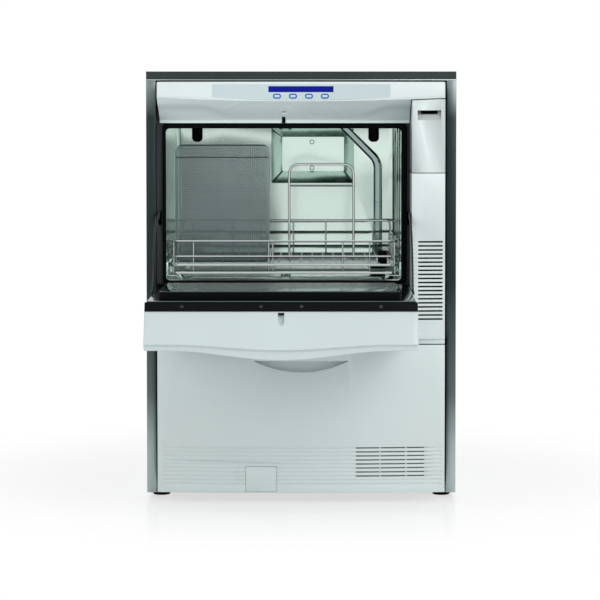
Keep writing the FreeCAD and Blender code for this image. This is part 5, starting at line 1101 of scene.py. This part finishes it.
@dataclass
class Rack(Assembly):
    """Wire rack with its basket, cassette and arch."""

    sides: Pair = (-256.5, 187.5)
    depth: Pair = (-242.5, 182.5)
    floor: float = 450.0
    thick: float = 2.4
    thin: float = 1.6
    cassette: Pair = (-250.0, -64.0)
    cassette_depth: Pair = (-196.0, -154.0)
    cassette_levels: Pair = (455.8, 685.8)
    pitch: float = 4.2

    def build(self) -> None:
        """Make the rack."""
        self.frame()
        self.basket()
        self.tray()
        self.arch()
        for node, body in (("front_rollers", Body.FRONT_ROLLERS), ("rear_rollers", Body.REAR_ROLLERS)):
            self.settle(Shape().copy(node).soften_edges(0.5), f"{node}_dressed", body, "grey_plastic", node)

    def loop(self, shape: Shape, level: float, radius: float) -> None:
        """Add a wire round the rack.

        Args:
            shape: The shape it joins.
            level: Its height.
            radius: Its radius.
        """
        (x0, x1), (y0, y1) = self.sides, self.depth
        shape.wire([(x0, y0, level), (x1, y0, level), (x1, y1, level), (x0, y1, level)], radius, 14.0, True)

    def frame(self) -> None:
        """Make the frame's heavy wires."""
        shape = Shape()
        (x0, x1), (y0, y1) = self.sides, self.depth
        for level in (self.floor, 466.5, 496.5):
            self.loop(shape, level, self.thick)
        shape.wire([(x0, y1, 466.0), (x0, y1, 520.5), (x1, y1, 520.5), (x1, y1, 466.0)], self.thick, 12.0)
        shape.wire([(x0 + 10, y0 + 0.5, 434.6), (x1 - 10, y0 + 0.5, 434.6)], self.thick)
        for x in (-250.5, -212.0, -64.0, -56.0, 81.0, 134.0, 183.0):
            shape.wire([(x, y0 + 3.6, 433.0), (x, y0 + 3.6, 496.5)], self.thin)
        for x in (x0 + 3.4, x1 - 3.4):
            for y in spread(y0 + 40.0, y1 - 30.0, 5):
                shape.wire([(x, y, self.floor), (x, y, 496.5)], self.thin)
        for x in (-255.0, 184.0):
            for y in (-205.0, 145.0):
                shape.block((x, x + 3.0), (y - 6.0, y + 6.0), (433.3, 452.0), 0.6)
        self.settle(shape, "rack_wires", Body.RACK, "wire_steel", "rack_frame")
        socket = Shape().lathe(((0, 0), (9, 0), (9, 26), (7, 28), (0, 28)), (160.0, -212.0, 449.0), steps=24)
        self.settle(socket, "rack_socket", Body.RACK, "black_plastic", "rack_frame")

    def basket(self) -> None:
        """Make the basket's floor and rim."""
        shape = Shape()
        (x0, x1), (y0, y1) = self.sides, self.depth
        for x in spread(x0 + 12, x1 - 12, 20):
            shape.wire([(x, y0, 453.0), (x, y1, 453.0)], 1.3)
        for y in spread(y0 + 12, y1 - 12, 12):
            shape.wire([(x0, y, 450.6), (x1, y, 450.6)], 1.3)
        for x in (-230.0, -150.0, -90.0, -20.0, 50.0, 110.0, 150.0):
            shape.wire([(x, y1 - 3, 452.0), (x, y1 - 3, 520.0)], 1.3)
        self.settle(shape, "basket_floor", Body.RACK, "wire_steel", "basket_wires")

    def tray(self) -> None:
        """Make the perforated cassette."""
        (x0, x1), (z0, z1) = self.cassette, self.cassette_levels
        y0, y1 = self.cassette_depth
        rim = Shape().prism(rounded((x0, x1), (z0, z1), 14.0, 8), (y0 + 1.0, y1), 0.6)
        rim.carve(Shape().prism(rounded((x0 + 2, x1 - 2), (z0 + 2, z1 - 2), 12.0, 8), (y0 - 5, y1 + 5)))
        self.settle(rim, "cassette_rim", Body.RACK, "cassette_steel", "cassette_tray")
        border = Shape().prism(rounded((x0, x1), (z0, z1), 14.0, 8), (y0, y0 + 1.6), 0.5)
        border.carve(Shape().prism(rounded((x0 + 6, x1 - 6), (z0 + 6, z1 - 5), 9.0, 5), (y0 - 5, y0 + 6)))
        border.wire([(x0 + 1, y0 - 1.0, z1 - 25.0), (x1 - 1, y0 - 1.0, z1 - 25.0)], 1.3)
        border.wire([(x0 + 8, y0 - 0.4, z1 - 1.4), (x1 - 8, y0 - 0.4, z1 - 1.4)], 1.1)
        self.settle(border, "cassette_border", Body.RACK, "cassette_steel", "cassette_tray")
        columns, rows = int((x1 - x0 - 9) / self.pitch), int((z1 - z0 - 9) / self.pitch)
        for name, y in (("cassette_front", y0 + 0.8), ("cassette_back", y1 - 1.2)):
            mesh = Shape()
            size = Matrix.Diagonal(((x1 - x0 - 9) / 2, (z1 - z0 - 9) / 2, 1.0, 1.0))
            centre = Matrix.Translation(((x0 + x1) / 2, y, (z0 + z1) / 2))
            turn = Matrix.Rotation(math.radians(90), 4, "X")
            bmesh.ops.create_grid(mesh.mesh, x_segments=columns, y_segments=rows, size=1.0,
                                  matrix=centre @ turn @ size)
            faces = list(mesh.mesh.faces)
            bmesh.ops.inset_individual(mesh.mesh, faces=faces, thickness=0.75)
            bmesh.ops.delete(mesh.mesh, geom=faces, context="FACES")
            bmesh.ops.solidify(mesh.mesh, geom=list(mesh.mesh.faces), thickness=0.8)
            self.settle(mesh, name, Body.RACK, "cassette_steel", "cassette_tray")

    def arch(self) -> None:
        """Make the holder arch."""
        shape = Shape()
        y = -96.0
        shape.wire([(-25.5, y, 452.0), (-25.5, y, 645.5), (104.5, y, 645.5), (104.5, y, 452.0)], self.thick, 22.0)
        shape.wire([(-25.5, y, 602.0), (104.5, y, 602.0)], self.thick)
        self.settle(shape, "holder_wires", Body.RACK, "wire_steel", "holder_arch")


@dataclass
class ServiceDrawer(Assembly):
    """Pull-out drawer under the door."""

    def build(self) -> None:
        """Make the drawer."""
        self.settle(Shape().copy("drawer_front").soften_edges(0.6), "drawer_face", Body.DRAWER, "white_plastic",
                    "drawer_front")
        self.settle(Shape().copy("service_flap").soften_edges(0.3), "flap_face", Body.FLAP, "white_plastic",
                    "service_flap")
        bottles = Shape().copy("dosing_bottles")
        self.settle(bottles, "bottles", Body.DRAWER, "tank_plastic", "dosing_bottles")


class Studio:
    """Camera, lamps, world and floor."""

    def build(self) -> None:
        """Set up the whole studio."""
        self.world()
        self.floor()
        self.camera()
        self.lamp("key_lamp", (1.9, -3.0, 2.4), (0.0, -0.2, 0.45), 2.2, 46.0)
        self.lamp("side_lamp", (-2.4, -2.4, 1.6), (0.0, -0.2, 0.45), 1.6, 14.0)
        self.lamp("cove_lamp", (-0.09, -0.53, 0.59), (-0.08, -0.36, 0.78), 0.3, 0.2).visible_glossy = False
        self.lamp("chamber_lamp", (-0.03, -0.2, 0.715), (-0.03, 0.1, 0.5), 0.3, 0.05)
        bpy.context.scene.view_settings.view_transform = "Standard"

    def world(self) -> None:
        """White behind the object, softer where it lights it."""
        world = bpy.data.worlds.new("studio")
        bpy.context.scene.world = world
        world.use_nodes = True
        tree = world.node_tree
        shade = tree.nodes["Background"]
        paths = tree.nodes.new("ShaderNodeLightPath")
        seen = tree.nodes.new("ShaderNodeMath")
        seen.operation = "MAXIMUM"
        clear = tree.nodes.new("ShaderNodeMath")
        clear.operation = "MAXIMUM"
        tree.links.new(paths.outputs["Is Camera Ray"], seen.inputs[0])
        tree.links.new(paths.outputs["Is Glossy Ray"], seen.inputs[1])
        tree.links.new(seen.outputs[0], clear.inputs[0])
        tree.links.new(paths.outputs["Is Transmission Ray"], clear.inputs[1])
        level = tree.nodes.new("ShaderNodeMapRange")
        level.inputs["To Min"].default_value = 0.72
        level.inputs["To Max"].default_value = 1.0
        tree.links.new(clear.outputs[0], level.inputs["Value"])
        tree.links.new(level.outputs[0], shade.inputs["Strength"])
        shade.inputs["Color"].default_value = (1.0, 1.0, 1.0, 1.0)

    def floor(self) -> None:
        """Pale floor that fades into the white behind the object."""
        build = bmesh.new()
        bmesh.ops.create_grid(build, x_segments=1, y_segments=1, size=14.0)
        mesh = bpy.data.meshes.new("floor")
        build.to_mesh(mesh)
        build.free()
        floor = bpy.data.objects.new("floor", mesh)
        bpy.context.collection.objects.link(floor)
        material = bpy.data.materials.new("floor")
        material.use_nodes = True
        tree = material.node_tree
        shader = tree.nodes["Principled BSDF"]
        shader.inputs["Base Color"].default_value = (0.96, 0.965, 0.965, 1.0)
        shader.inputs["Roughness"].default_value = 0.18
        shader.inputs["Specular IOR Level"].default_value = 0.35
        place = tree.nodes.new("ShaderNodeTexCoord").outputs["Object"]
        reach = tree.nodes.new("ShaderNodeVectorMath")
        reach.operation = "LENGTH"
        tree.links.new(place, reach.inputs[0])
        far = tree.nodes.new("ShaderNodeMapRange")
        far.interpolation_type = "SMOOTHSTEP"
        far.inputs["From Min"].default_value = 0.45
        far.inputs["From Max"].default_value = 0.95
        far.inputs["To Min"].default_value = 0.66
        tree.links.new(reach.outputs["Value"], far.inputs["Value"])
        paths = tree.nodes.new("ShaderNodeLightPath")
        seen = tree.nodes.new("ShaderNodeMath")
        seen.operation = "MULTIPLY"
        tree.links.new(paths.outputs["Is Camera Ray"], seen.inputs[0])
        tree.links.new(far.outputs[0], seen.inputs[1])
        white = tree.nodes.new("ShaderNodeEmission")
        blend = tree.nodes.new("ShaderNodeMixShader")
        tree.links.new(seen.outputs[0], blend.inputs[0])
        tree.links.new(shader.outputs[0], blend.inputs[1])
        tree.links.new(white.outputs[0], blend.inputs[2])
        tree.links.new(blend.outputs[0], tree.nodes["Material Output"].inputs["Surface"])
        mesh.materials.append(material)

    def camera(self) -> None:
        """Level long lens in front of the machine."""
        lens = bpy.data.cameras.new("camera")
        lens.lens = 142.65
        lens.sensor_width = 36.0
        lens.shift_x = -0.0229
        lens.shift_y = -0.12
        lens.clip_end = 60.0
        camera = bpy.data.objects.new("camera", lens)
        camera.location = (0.0289, -4.902, 0.7262)
        camera.rotation_euler = (math.radians(87.5), 0.0, 0.001)
        bpy.context.collection.objects.link(camera)
        bpy.context.scene.camera = camera

    def lamp(self, name: str, place: Triple, target: Triple, size: float, power: float) -> bpy.types.Object:
        """Add a square area lamp.

        Args:
            name: The lamp's name.
            place: Where it hangs.
            target: What it points at.
            size: Its side.
            power: Its power in watts.

        Returns:
            The lamp.
        """
        light = bpy.data.lights.new(name, "AREA")
        light.size = size
        light.energy = power
        lamp = bpy.data.objects.new(name, light)
        lamp.location = place
        lamp.rotation_euler = (Vector(target) - Vector(place)).to_track_quat("-Z", "Y").to_euler()
        lamp.visible_camera = False
        bpy.context.collection.objects.link(lamp)
        return lamp


def main() -> None:
    """Build the machine and its studio."""
    logging.basicConfig(level=logging.INFO, format="%(message)s")
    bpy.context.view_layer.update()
    Studio().build()
    materials = {slot: finish.build() for slot, finish in FINISHES.items()}
    for part in frame["record"]["subparts"]:
        node = frame["nodes"][part["node"]]
        node.data.materials.clear()
        node.data.materials.append(materials[part["material_slot"]])
    for group in (Casing, Fascia, Column, Door, Chamber, Rack, ServiceDrawer):
        group(materials).build()


if __name__ == "__main__":
    main()
